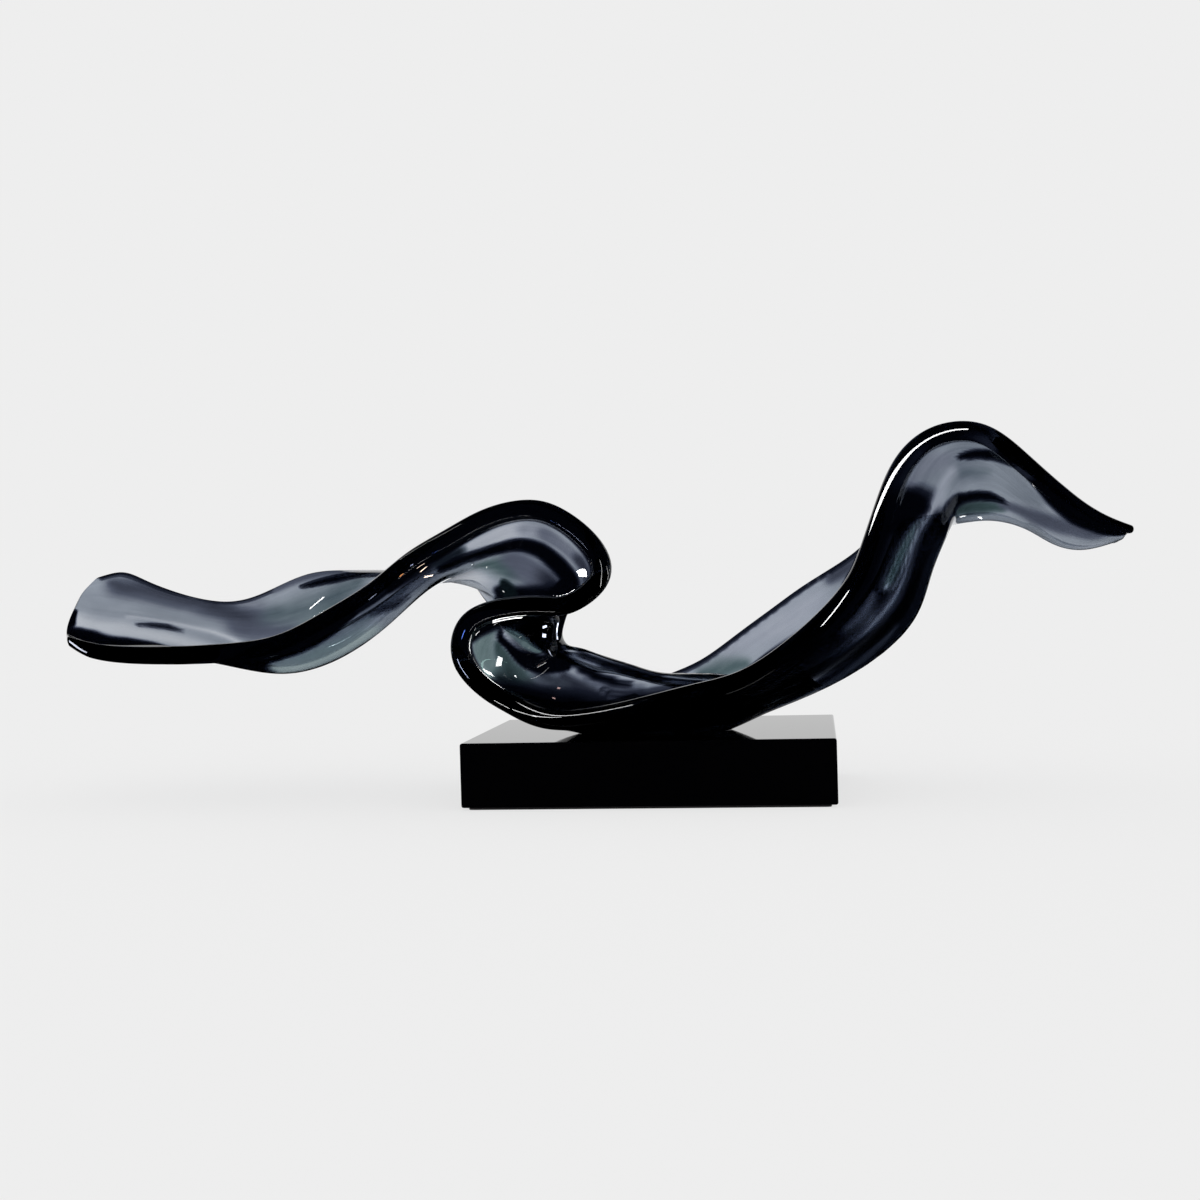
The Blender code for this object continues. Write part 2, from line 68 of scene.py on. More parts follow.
# Drawing of the ribbon, the same as that of the solid. A station gives the depth of the
# front and back rims, then x and height above the plinth at six rails, front rim first,
# and then the thickness of the wall and the share of the full front rim, in millimetres.
RAIL_SHARE = (0, 0.2, 0.42, 0.66, 0.85, 1)
STATIONS = (
    # Tongue: a leaf with a low front rim and a high back rim
    (-34, 50, (-431, 74), (-440, 80), (-445, 91), (-449, 101), (-451, 110), (-447, 120), 4, 0.5),
    (-50, 62, (-407, 68), (-420, 73), (-430, 86), (-437, 98), (-438, 111), (-434, 123), 4.5, 0.8),
    (-56, 64, (-374, 64), (-386, 70), (-396, 81), (-405, 93), (-410, 104), (-412, 115), 5, 0.9),
    (-58, 66, (-302, 64), (-310, 56), (-319, 61), (-330, 75), (-339, 88), (-348, 97), 5, 1),
    # Trough that closes as the front rim climbs over the back rim
    (-58, 66, (-261, 70), (-266, 51), (-274, 52), (-286, 71), (-299, 92), (-311, 105), 5.5, 1),
    (-58, 66, (-226, 86), (-228, 62), (-236, 61), (-252, 79), (-266, 104), (-279, 117), 6, 1),
    (-57, 64, (-191, 106), (-192, 86), (-199, 83), (-217, 98), (-233, 114), (-245, 119), 6, 1),
    (-55, 62, (-164, 126), (-162, 110), (-166, 108), (-185, 108), (-201, 115), (-211, 118), 6, 1),
    (-53, 58, (-137, 141), (-134, 125), (-140, 118), (-157, 112), (-171, 113), (-181, 116), 5.5, 1),
    # Upper curl: the front rim goes over the crest and the wall hangs behind it
    (-52, 55, (-110, 154), (-108, 139), (-117, 124), (-135, 112), (-149, 110), (-157, 114), 5, 1),
    (-52, 52, (-84, 159), (-86, 144), (-97, 125), (-115, 107), (-131, 103), (-142, 108), 4.5, 1),
    (-52, 51, (-59, 152), (-63, 136), (-77, 117), (-97, 101), (-118, 95), (-135, 99), 4.5, 1),
    (-52, 50, (-31, 114), (-42, 109), (-58, 100), (-75, 90), (-95, 82), (-118, 81), 5, 1),
    # Neck: the front rim turns back under the crest
    (-55, 54, (-57, 92), (-61, 90), (-66, 85), (-72, 78), (-86, 70), (-101, 67), 6, 1),
    (-57, 57, (-74, 92), (-75, 86), (-72, 80), (-73, 72), (-82, 64), (-92, 60), 6, 1),
    # Lower curl: the front rim goes round the scoop
    (-61, 63, (-117, 86), (-109, 72), (-87, 64), (-72, 62), (-71, 51), (-74, 47), 5.5, 1),
    (-62, 66, (-129, 72), (-119, 58), (-92, 52), (-67, 58), (-63, 45), (-63, 41), 5, 1),
    (-63, 69, (-128, 54), (-119, 43), (-91, 40), (-59, 56), (-52, 39), (-52, 37), 5, 1),
    (-64, 71, (-114, 37), (-107, 30), (-81, 30), (-49, 52), (-40, 35), (-40, 33), 6, 1),
    (-64, 72, (-96, 25), (-87, 18), (-64, 20), (-35, 47), (-25, 29), (-26, 31), 8, 1),
    # Foot: the thick floor of the trough, with a fold behind it and then the back wall
    (-63, 73, (-72, 14), (-62, 9), (-45, 12), (-21, 42), (-10, 22), (-11, 29), 12, 1),
    (-62, 73, (-39, 14), (-34, 7), (-23, 8), (-4, 36), (6, 18), (8, 34), 16, 1),
    (-60, 72, (-6, 20), (-2, 7), (4, 8), (16, 33), (26, 16), (30, 44), 17, 1),
    (-58, 70, (29, 28), (34, 7), (37, 7), (40, 32), (49, 19), (56, 62), 16, 1),
    (-57, 68, (61, 36), (73, 19), (74, 17), (66, 31), (74, 30), (83, 81), 11, 1),
    # Limb that rises to the right, open to the upper left
    (-57, 66, (93, 54), (112, 37), (117, 32), (100, 43), (103, 54), (108, 98), 10, 1),
    (-57, 66, (140, 98), (167, 81), (180, 77), (161, 91), (150, 103), (147, 122), 9, 1),
    (-56, 64, (153, 124), (177, 113), (194, 109), (180, 117), (170, 128), (161, 134), 8, 1),
    (-54, 62, (164, 154), (185, 144), (205, 135), (200, 132), (189, 137), (179, 144), 7, 1),
    # Upper crest on the right, running out to the tip
    (-52, 60, (178, 183), (199, 174), (214, 158), (215, 144), (207, 142), (200, 146), 6, 1),
    (-50, 58, (198, 199), (215, 188), (226, 168), (228, 151), (225, 145), (219, 147), 5, 1),
    (-48, 56, (225, 201), (234, 187), (241, 169), (244, 153), (244, 146), (241, 148), 5, 1),
    (-46, 52, (251, 184), (255, 171), (259, 158), (263, 146), (266, 140), (267, 141), 5, 1),
    (-42, 42, (282, 156), (282, 147), (283, 139), (284, 131), (286, 127), (287, 129), 4.5, 0.9),
    (-36, 28, (305, 141), (304, 136), (303, 130), (304, 125), (304, 122), (306, 124), 4, 0.7),
    (-24, 8, (329, 133), (328, 132), (327, 130), (327, 128), (326, 127), (325, 126), 3, 0.4),
)
FRONT_RIM = 14 * MM
BACK_RIM = 5.2 * MM
BACK_WALL = 5 * MM
RIM_BLEND = 7 * MM
SECTION_EVENNESS = 0.5
TRAVEL_EVENNESS = 0.7
RIM_CROWDING = 0.45
CURL_CROWDING = 0.5
THIN_FROM = 0.4
THIN_BY = 0.75
BACK_RIM_TO_WALL = 1.1

# Fineness of the ribbon's mesh
RIBBON_STEPS = 440
WALL_STEPS = 78
RIM_STEPS = 12
END_STEPS = 8
CURVE_SAMPLES = 480
MERGE = 0.02 * MM
RIBBON_CREASE = 40

# Smoke that was stirred into the resin before it set, together with painted shade and painted
# reflections: the dark arcs, the stripes on the back wall, the bands of light and the shadows are
# painted into the resin's colour as wisps too. A wisp has its depth of smoke or shade, from
# 0 for clear to 1 for black, its share of green, the share of its width that fades out,
# and then the places it runs through: station, share of the way across, half width in mm.
WEB_SMOKE = 0.34
WEB_GREEN = 0.15
# Share of the front rim's swell above the web where its smoke and painted shade start, and where they are
# full
RIM_SMOKE_AND_SHADE_FROM = 0.17
RIM_SMOKE_AND_SHADE_BY = 0.67
LEAST_SWELL = 1 * MM
SMOKE_AND_SHADE_WISPS = {
    # Tongue
    "tongue, pale middle": (0.12, 0.05, 1, (0.2, 0.4, 20), (1, 0.38, 28), (1.8, 0.38, 28), (2.4, 0.36, 24),
        (2.9, 0.34, 22)),
    "tongue, dusk at the back": (0.68, 0, 1, (1.1, 0.9, 10), (1.5, 0.88, 22), (2.1, 0.93, 30),
        (2.7, 0.95, 30), (3.2, 0.84, 28), (3.5, 0.76, 28)),
    "tongue, dusk to the trough": (0.6, 0, 1, (3.2, 0.7, 18), (3.6, 0.68, 26), (4, 0.66, 22)),
    "trough, violet light": (0.4, 0, 1, (3.45, 0.97, 14), (3.6, 0.93, 8)),
    "tongue, crease": (0.1, 0, 1, (1.9, 0.56, 3), (2.5, 0.6, 5), (2.8, 0.61, 5), (3, 0.58, 5),
        (3.3, 0.52, 5), (3.5, 0.48, 2)),
    "tongue, lens": (0.88, 0, 0.5, (2.08, 0.475, 2), (2.22, 0.505, 5.5), (2.36, 0.525, 6),
        (2.5, 0.515, 2.5)),
    "tongue, front": (1, 0, 0.25, (0, 0.08, 20), (0.4, 0.1, 23), (1.6, 0.1, 25), (2.1, 0.1, 23),
        (2.4, 0.1, 16)),
    "tongue, end": (1, 0, 0.4, (0, 0.5, 2.5), (0, 0.3, 6)),
    "tongue, dark edge": (0.85, 0, 0.3, (0.2, 1, 3), (2, 1, 2.5), (4, 1, 2.5), (6.9, 1, 3)),
    # Left limb: the underside of the trough, and its back wall seen over the front rim
    "trough, green behind": (0.52, 0.6, 1, (3.9, 0.8, 20), (4.6, 0.76, 28), (5.2, 0.76, 28),
        (5.9, 0.8, 16)),
    "trough, green glow": (0.46, 1, 1, (4.5, 0.66, 10), (5, 0.68, 12), (5.3, 0.7, 8)),
    "trough, blue edge": (0.62, 0, 0.8, (4.2, 1, 7), (5.2, 0.99, 8), (6.2, 0.99, 8), (6.9, 0.99, 8)),
    "trough, stroke behind": (1, 0, 0.4, (4.68, 0.93, 1.5), (5, 0.915, 4), (5.6, 0.9, 6), (6.1, 0.9, 6.5),
        (6.8, 0.92, 6)),
    "trough, shadow behind the rim": (1, 0, 0.2, (5.1, 0.66, 3), (5.6, 0.66, 5), (6, 0.685, 7),
        (6.45, 0.75, 8), (6.9, 0.83, 8)),
    "limb, root": (0.97, 0, 0.2, (2.8, 0.08, 12), (3.1, 0.15, 20), (3.4, 0.19, 21)),
    "limb, under the rim": (1, 0, 0.3, (3.5, 0.05, 11), (4, 0.045, 8), (4.6, 0.045, 8), (5, 0.04, 7),
        (5.4, 0.02, 5)),
    "limb, green web": (0.22, 0.9, 0.6, (3.95, 0.2, 15), (4.8, 0.2, 18), (5.6, 0.24, 17)),
    "limb, behind the web": (0.24, 0.6, 1, (3.9, 0.42, 20), (4.8, 0.46, 22), (5.6, 0.48, 22)),
    "limb, clear edge": (0.05, 0, 1, (5.8, 0.4, 14), (6.8, 0.42, 24), (7.6, 0.5, 30), (8.4, 0.6, 34)),
    "limb, shade": (0.56, 0.1, 0.8, (5.4, 0.07, 4), (5.8, 0.08, 7), (6.3, 0.11, 14), (7, 0.15, 18),
        (7.7, 0.12, 14)),
    "limb, lens": (0.78, 0, 0.6, (5.75, 0.1, 1.5), (6, 0.13, 4), (6.3, 0.17, 5.5), (6.6, 0.19, 3)),
    "limb, dark top": (0.93, 0, 0.6, (6.3, 0.04, 5), (6.8, 0.06, 9), (7.2, 0.07, 10), (7.5, 0.06, 6)),
    # Upper curl
    "hood, shade before the band": (0.82, 0.4, 0.8, (7.5, 0.1, 9), (8, 0.11, 9)),
    "hood, clear edge": (0.1, 0, 1, (7.8, 0.75, 26), (8.6, 0.82, 30), (9.4, 0.86, 26), (9.9, 0.9, 20),
        (10.3, 0.95, 14)),
    "hood, green": (0.56, 1, 1, (8.4, 0.36, 8), (9, 0.43, 17), (9.5, 0.48, 23), (9.9, 0.52, 18)),
    "hood, dusk": (0.6, 0, 0.8, (9.9, 0.42, 18), (10.5, 0.46, 24), (11, 0.48, 24)),
    "hood, deep dusk": (0.78, 0, 1, (11.2, 0.45, 18), (11.6, 0.46, 18)),
    "hood, deep": (0.95, 0, 0.4, (10.6, 0.74, 14), (11.1, 0.72, 18), (11.6, 0.66, 24), (12.3, 0.5, 24)),
    "hood, edge in shadow": (0.92, 0.2, 0.5, (11, 0.84, 10), (11.4, 0.85, 18), (12, 0.85, 22)),
    "hood, dark lens": (0.86, 0.9, 0.5, (10, 0.63, 5), (10.3, 0.67, 9), (10.55, 0.72, 10)),
    # Painted reflection: the band of light is the hood mirroring a bright window
    "hood, band of light": (0.2, 0, 0.4, (8.4, 0.12, 6), (8.8, 0.145, 10), (9.3, 0.155, 12.5),
        (9.8, 0.155, 12)),
    "hood, middle of the band": (0.38, 0, 0.8, (10, 0.155, 12.5), (10.4, 0.155, 12)),
    "hood, band in shade": (0.52, 0, 0.7, (10.6, 0.165, 11), (11, 0.18, 10.5), (11.3, 0.185, 10)),
    "hood, end of the band": (0.75, 0, 0.7, (11.5, 0.18, 9.5), (11.9, 0.19, 9)),
    "hood, inside of the rim": (1, 0, 0.4, (7.5, 0.03, 8), (8.2, 0.03, 6), (9.2, 0.03, 6), (10, 0.03, 6),
        (10.6, 0.04, 6), (11.1, 0.045, 7), (11.6, 0.06, 10), (12.1, 0.07, 12), (12.5, 0.08, 12)),
    # Painted reflection: the dark arc is the hood mirroring its dark surroundings
    "hood, arc": (1, 0, 0.35, (7.5, 0.16, 4), (7.8, 0.175, 6), (8.1, 0.19, 6), (8.5, 0.235, 7.5),
        (9.1, 0.272, 8), (10, 0.285, 8.5), (10.6, 0.29, 9.5), (11.1, 0.31, 10.5), (11.5, 0.33, 11),
        (12, 0.36, 13), (12.3, 0.36, 14)),
    # Neck and lower curl
    "neck": (0.97, 0, 0.4, (12.9, 0.5, 40), (13.3, 0.5, 50), (13.8, 0.45, 46), (14.3, 0.45, 24)),
    "neck, clear back": (0.1, 0.5, 0.6, (12.3, 1, 8), (12.7, 0.98, 10)),
    "scoop, green": (0.46, 1, 0.8, (14.95, 0.14, 8), (15.6, 0.16, 17), (16.3, 0.19, 22), (16.8, 0.21, 20)),
    "scoop, green shade": (0.66, 1, 0.8, (15.3, 0.24, 4), (15.8, 0.3, 8), (16.3, 0.33, 12),
        (16.9, 0.36, 15), (17.3, 0.36, 14)),
    "scoop, dark floor": (0.82, 0.8, 1, (17, 0.26, 12), (17.4, 0.28, 18), (17.8, 0.28, 18)),
    "trough, floor": (0.84, 0.1, 1, (17.9, 0.36, 16), (18.4, 0.42, 18), (19.2, 0.44, 18), (20, 0.45, 16),
        (20.7, 0.46, 10)),
    "trough, floor by the ridge": (0.78, 0, 0.8, (18.1, 0.5, 7), (19, 0.485, 8), (19.6, 0.46, 8),
        (20.4, 0.45, 10), (21, 0.45, 10)),
    "trough, light on the floor": (0.74, 0.2, 1, (16.9, 0.45, 6), (17.4, 0.45, 8), (17.9, 0.46, 8),
        (18.4, 0.48, 5)),
    "scoop, inside of the rim": (1, 0, 0.4, (14.4, 0.08, 12), (14.7, 0.09, 13), (15.1, 0.08, 11),
        (15.5, 0.06, 10), (16, 0.04, 6), (16.5, 0.06, 7), (17, 0.09, 9), (17.5, 0.1, 10), (17.9, 0.12, 16),
        (18.3, 0.13, 22), (18.8, 0.18, 31), (19.4, 0.2, 35), (20, 0.22, 38), (20.9, 0.22, 40)),
    "scoop, above the lens": (0.9, 0, 0.5, (14.5, 0.36, 6), (14.6, 0.46, 8), (14.9, 0.54, 8)),
    "scoop, pale lens": (0.52, 0.9, 0.5, (14.75, 0.2, 3), (14.8, 0.28, 4.5), (14.95, 0.37, 5),
        (15.25, 0.45, 4), (15.6, 0.51, 2)),
    "scoop, cone": (1, 0, 0.4, (15.6, 0.56, 5), (16.3, 0.58, 9), (17, 0.58, 9), (17.5, 0.58, 5)),
    # Painted reflection: the dark arc is the scoop mirroring its dark surroundings
    "scoop, arc": (1, 0, 0.4, (14.85, 0.18, 2), (15.05, 0.23, 3), (15.25, 0.3, 3), (15.55, 0.36, 4),
        (16, 0.43, 7), (16.6, 0.5, 9), (17.2, 0.545, 9), (17.6, 0.56, 6)),
    # Foot and back wall
    "back wall, behind": (0.25, 0, 0.8, (17, 0.8, 14), (18.5, 0.83, 18), (20, 0.85, 26), (21, 0.85, 30),
        (22, 0.8, 30)),
    "foot": (1, 0, 0.3, (19.7, 0.1, 18), (21, 0.12, 38), (22.5, 0.15, 46), (23.5, 0.15, 48),
        (24.8, 0.12, 30)),
    # Painted reflections: the dark and pale stripes that run along the back wall
    "back wall, violet stripe": (0.42, 0, 0.6, (17, 0.7, 4), (18.2, 0.68, 5), (19.4, 0.66, 5),
        (20.4, 0.64, 4)),
    "back wall, upper stripe": (1, 0, 0.5, (16.6, 0.66, 2.5), (17.6, 0.65, 3), (18.6, 0.645, 3.5),
        (19.6, 0.635, 4.5), (20.6, 0.615, 6), (21.6, 0.6, 7), (22.6, 0.58, 4)),
    "back wall, grey stripe": (0.56, 0, 0.6, (18.4, 0.55, 2), (19.2, 0.532, 3.5), (20.2, 0.512, 4.5),
        (21, 0.51, 7)),
    "back wall, grey lens": (0.36, 0, 0.8, (21.4, 0.53, 7), (22, 0.54, 9), (22.6, 0.53, 7),
        (23.1, 0.53, 3)),
    "back wall, below the grey": (0.9, 0, 0.6, (19.7, 0.495, 2), (20.4, 0.48, 4), (21.2, 0.475, 6),
        (22, 0.475, 8), (23, 0.48, 8)),
    "back wall, lower stripe": (1, 0, 0.5, (17.5, 0.59, 2.5), (18.3, 0.578, 3.5), (19.2, 0.56, 4.5),
        (19.9, 0.548, 4), (20.7, 0.54, 1.5)),
    "back wall, pale stripe": (0.22, 0, 0.6, (17, 0.635, 2.5), (18.2, 0.622, 3.2), (19.2, 0.605, 3.6),
        (20.2, 0.585, 4), (21.1, 0.565, 4)),
    "trough, ridge": (0.55, 0, 0.6, (17.8, 0.57, 1), (18.5, 0.545, 1.2), (19.1, 0.525, 1.2),
        (19.6, 0.495, 1.2), (20.2, 0.465, 1.2), (21, 0.46, 1.2)),
    "back wall, green low": (0.56, 0.9, 1, (22, 0.93, 12), (22.5, 0.9, 17), (23, 0.87, 15),
        (23.3, 0.85, 8)),
    "back wall, clear": (0.3, 0, 1, (22.8, 0.98, 12), (23.6, 0.94, 20), (24.6, 0.9, 24), (25.2, 0.9, 20)),
    "back wall, dusk high": (0.66, 0, 0.9, (25.5, 0.97, 10), (25.9, 0.97, 16), (26.6, 0.95, 18)),
    "back wall, shadow behind the limb": (1, 0, 0.2, (23.2, 0.79, 5), (24.4, 0.76, 9), (25.3, 0.76, 9),
        (25.65, 0.8, 8), (25.9, 0.88, 8), (26.2, 0.93, 8)),
    "back wall, dark edge": (0.85, 0, 0.3, (15.5, 1, 3), (18, 1, 3), (21, 1, 2.5), (24, 1, 2.5),
        (26.6, 1, 2.5)),
    # Right limb: what shows through it, then its front
    "right limb, behind": (0.2, 0.1, 0.6, (24.6, 0.56, 26), (25.6, 0.64, 32), (26.6, 0.7, 34),
        (27.6, 0.76, 34), (28.4, 0.85, 26)),
    "right limb, front": (0.93, 0, 0.3, (24.4, 0.16, 34), (25.4, 0.18, 36), (26, 0.2, 38), (27, 0.2, 38),
        (27.9, 0.2, 34)),
    "right limb, side": (0.9, 0.1, 0.4, (24.6, 0.38, 14), (25.4, 0.42, 18), (26.4, 0.42, 22),
        (27.2, 0.42, 20), (28, 0.46, 16)),
    "right limb, lower streaks": (0.42, 0, 1, (24.3, 0.25, 4), (25, 0.27, 7), (25.5, 0.275, 7),
        (25.9, 0.28, 4)),
    # Painted highlight: the pale line along the fold, where a ridge would catch the light
    "right limb, fold": (0.3, 0, 0.8, (24.2, 0.165, 3), (24.9, 0.17, 4), (25.4, 0.175, 5), (25.8, 0.185, 6),
        (26.2, 0.21, 6), (26.8, 0.24, 4.5), (27.3, 0.25, 4), (27.8, 0.27, 4), (28.2, 0.3, 6),
        (28.6, 0.32, 10)),
    "right limb, outline of the lens": (0.3, 0.3, 0.4, (26.33, 0.135, 2), (26.5, 0.15, 6),
        (27.16, 0.183, 6.5), (27.66, 0.215, 5), (28.15, 0.25, 1.5)),
    "right limb, green lens": (0.6, 1, 0.4, (26.45, 0.145, 1.5), (26.6, 0.155, 4), (27.16, 0.183, 4.5),
        (27.66, 0.213, 3), (28, 0.24, 1)),
    "right limb, patch": (0.62, 0, 0.8, (25.6, 0.1, 6), (25.85, 0.115, 10), (26.1, 0.1, 6)),
    # Crest and tip
    "crest, pale web": (0.44, 0.2, 0.6, (28.8, 0.12, 8), (29.3, 0.18, 26), (30.2, 0.24, 34),
        (31.2, 0.3, 34), (32, 0.3, 26), (32.4, 0.28, 14)),
    "crest, dusk on the left": (0.48, 0, 1, (28.7, 0.1, 10), (29.1, 0.12, 16), (29.5, 0.2, 14)),
    "crest, dusk across": (0.5, 0.4, 1, (29.8, 0.36, 7), (30.3, 0.38, 8), (30.9, 0.36, 5)),
    "crest, stream": (0.3, 0, 1, (29.4, 0.3, 8), (28.9, 0.31, 8), (28.5, 0.33, 6)),
    "limb, cap": (0.97, 0, 0.4, (27.8, 0.09, 12), (28.15, 0.15, 14), (28.25, 0.22, 9), (28.3, 0.25, 6)),
    "crest, lens": (0.97, 0, 0.4, (29.95, 0.24, 2), (30.4, 0.235, 5.5), (31, 0.2, 7), (31.5, 0.13, 8),
        (31.8, 0.08, 8)),
    "crest, inside of the rim": (1, 0, 0.5, (28.6, 0.01, 3), (29.4, 0.02, 4), (30.1, 0.04, 6),
        (30.9, 0.03, 6), (31.6, 0.02, 6), (32.3, 0.02, 6)),
    "crest, hollow": (0.68, 1, 0.8, (28.95, 0.56, 7), (29.4, 0.61, 10), (29.9, 0.655, 14), (30.6, 0.69, 14),
        (31.2, 0.69, 8)),
    "crest, clear edge": (0.24, 0, 1, (31, 0.98, 10), (31.8, 0.93, 16), (32.6, 0.93, 22), (33.8, 0.93, 18),
        (34.6, 0.8, 12)),
    # Painted reflection: the dark arc is the crest mirroring its dark surroundings
    "crest, arc": (1, 0, 0.4, (28.25, 0.45, 12), (28.6, 0.455, 10), (28.9, 0.475, 8), (29.4, 0.525, 6),
        (30, 0.56, 6), (30.7, 0.583, 6), (31.2, 0.6, 4), (31.6, 0.61, 2)),
    "tip, dusk": (0.64, 0, 0.8, (31.3, 0.66, 5), (31.8, 0.62, 11), (32.4, 0.56, 17), (32.9, 0.45, 20),
        (33.4, 0.36, 20), (34, 0.34, 17), (34.4, 0.3, 10)),
    "tip, black": (1, 0, 0.4, (32.5, 0.02, 9), (33, 0.055, 15.5), (33.6, 0.09, 16.5), (34.2, 0.11, 13.5),
        (34.8, 0.2, 10)),
}
# A wisp is followed this many stations past its ends and this share to its sides, so that it
# stays on its own turn of the ribbon. Further off it is out of reach.
WISP_REACH = 1.5
WISP_SPREAD = 0.3
OUT_OF_REACH = 9
WISP_SAMPLES = 24

# Colours of the resin over its depth of smoke and painted shade, seen against white
VIOLET_RAMP = ((0, "#f0f3fa"), (0.3, "#b0b6c4"), (0.55, "#666c7e"), (0.8, "#1e2230"), (0.96, "#03040a"))
GREEN_RAMP = ((0, "#eaf5f4"), (0.3, "#a2b6b8"), (0.55, "#51676b"), (0.8, "#142023"), (0.96, "#03050a"))

# Clouds, streaks and polish in the resin
CLOUD_SIZE = 38 * MM
CLOUD_DEPTH = 0.88
STREAK_DEPTH = 0.64
STREAKS_IN_MAP = (60, 16, 1)
RIPPLE_SIZE = 30 * MM
RIPPLE_DEPTH = 0.15 * MM

# Marks in the lacquer, the felt and the metals
WIPE_SIZE = 45 * MM
PEEL_SIZE = 2.5 * MM
PEEL_DEPTH = 0.003 * MM
DUST_SPACING = 9 * MM
DUST_SHARE = 0.03
DUST_COLOUR = "#2a2a2c"
TUFT_SIZE = 1.2 * MM
TUFT_DEPTH = 0.25 * MM
METAL_PATCH = 3 * MM
PLATING_GRAIN = (0.3 * MM, 0.3 * MM, 0.3 * MM)
PLATING_DEPTH = 0.006 * MM
# The tool leaves a ring each 0.1 mm, drawn as 0.3 mm so that it shows
TOOL_MARKS = (20 * MM, 20 * MM, 0.3 * MM)
TOOL_MARK_DEPTH = 0.01 * MM

# Fixings: sides of a turned piece and sizes that the frame's boxes don't give
TURNED_SIDES = 48
TURNED_CREASE = 30
HEAD_HEIGHT = 6 * MM
HEAD_CHAMFER = 0.5 * MM
THREAD_LENGTH = 24 * MM
THREAD_DEPTH = 0.6 * MM
# Shares of a thread's pitch where its root starts and ends, and then its crest
THREAD_ROOT = (0.45, 0.55)
THREAD_CREST = (0.95, 1.05)
SHANK_RADIUS = 3 * MM
SOCKET_SIDES = 6
SOCKET_DEPTH = 3 * MM
KNURL = 0.97
WASHER_EDGE = 0.3 * MM
INSERT_CHAMFER = 0.3 * MM
INSERT_GROOVE = 0.6 * MM
INSERT_FLOOR = 1.2 * MM
BORE_RADIUS = 3.1 * MM
BORE_CHAMFER = 0.4 * MM
CUT_MARGIN = 1 * MM

# Felt
FELT_GRID = 3 * MM
FELT_CORNER = 3 * MM
FELT_ROUNDED = 0.3 * MM
FELT_FRAY = 0.12 * MM
FELT_CREASE = 50


def colour_setting(name, description, colour):
    """A colour for the user to change, from its sRGB hex."""
    return FloatVectorProperty(
        name=name, description=description, subtype="COLOR", default=linear(colour), min=0, max=1,
    )


def length_setting(name, description, default, least, most):
    """A length for the user to change, from its millimetres."""
    return FloatProperty(
        name=name, description=description, subtype="DISTANCE", unit="LENGTH",
        default=default * MM, min=least * MM, max=most * MM,
    )


class ResinWaveSettings(PropertyGroup):
    """Colours and sizes that a user may change before the steps are run"""
    resin_depth: colour_setting("Resin depth", "Colour that the resin takes on with depth", "#b3bcc2")
    lacquer: colour_setting("Lacquer", "Colour of the plinth's gloss lacquer", "#020203")
    felt: colour_setting("Felt", "Colour of the felt under the plinth", "#151517")
    backdrop: colour_setting("Backdrop", "Colour of the floor and of the surroundings", "#eeeeee")
    steel: colour_setting("Plating", "Colour of the screws' and washers' zinc plating", "#b4b8bb")
    brass: colour_setting("Brass", "Colour of the threaded inserts", "#c6a15b")
    thread_pitch: length_setting("Thread pitch", "From one ridge of the thread to the next", 1, 0.5, 2)
    socket_width: length_setting("Socket", "Width across the flats of the socket in a screw's head", 5, 2, 8)
    washer_hole: length_setting("Washer hole", "Diameter of the hole in a washer", 6.4, 6, 9)
    pocket_gap: length_setting("Pocket gap", "Gap all round an insert in its pocket in the resin", 0.4, 0, 2)


def settings():
    """The user's settings."""
    return bpy.context.scene.resin_wave


def add_node(tree, kind, values=None, links=None, stops=(), **fields):
    """Add a shader node with its fields, its socket values, its links and its ramp's stops."""
    made = tree.nodes.new("ShaderNode" + kind)
    for name, value in fields.items():
        setattr(made, name, value)
    for socket, value in (values or {}).items():
        made.inputs[socket].default_value = value
    for socket, source in (links or {}).items():
        tree.links.new(source, made.inputs[socket])
    for index, (position, colour) in enumerate(stops):
        if index < 2:
            stop = made.color_ramp.elements[index]
        else:
            stop = made.color_ramp.elements.new(position)
        stop.position = position
        stop.color = (*linear(colour), 1)
    return made


def new_material(name):
    """An empty material, its node tree and its output node."""
    material = bpy.data.materials.new(name)
    material.use_nodes = True
    tree = material.node_tree
    tree.nodes.clear()
    return material, tree, add_node(tree, "OutputMaterial")


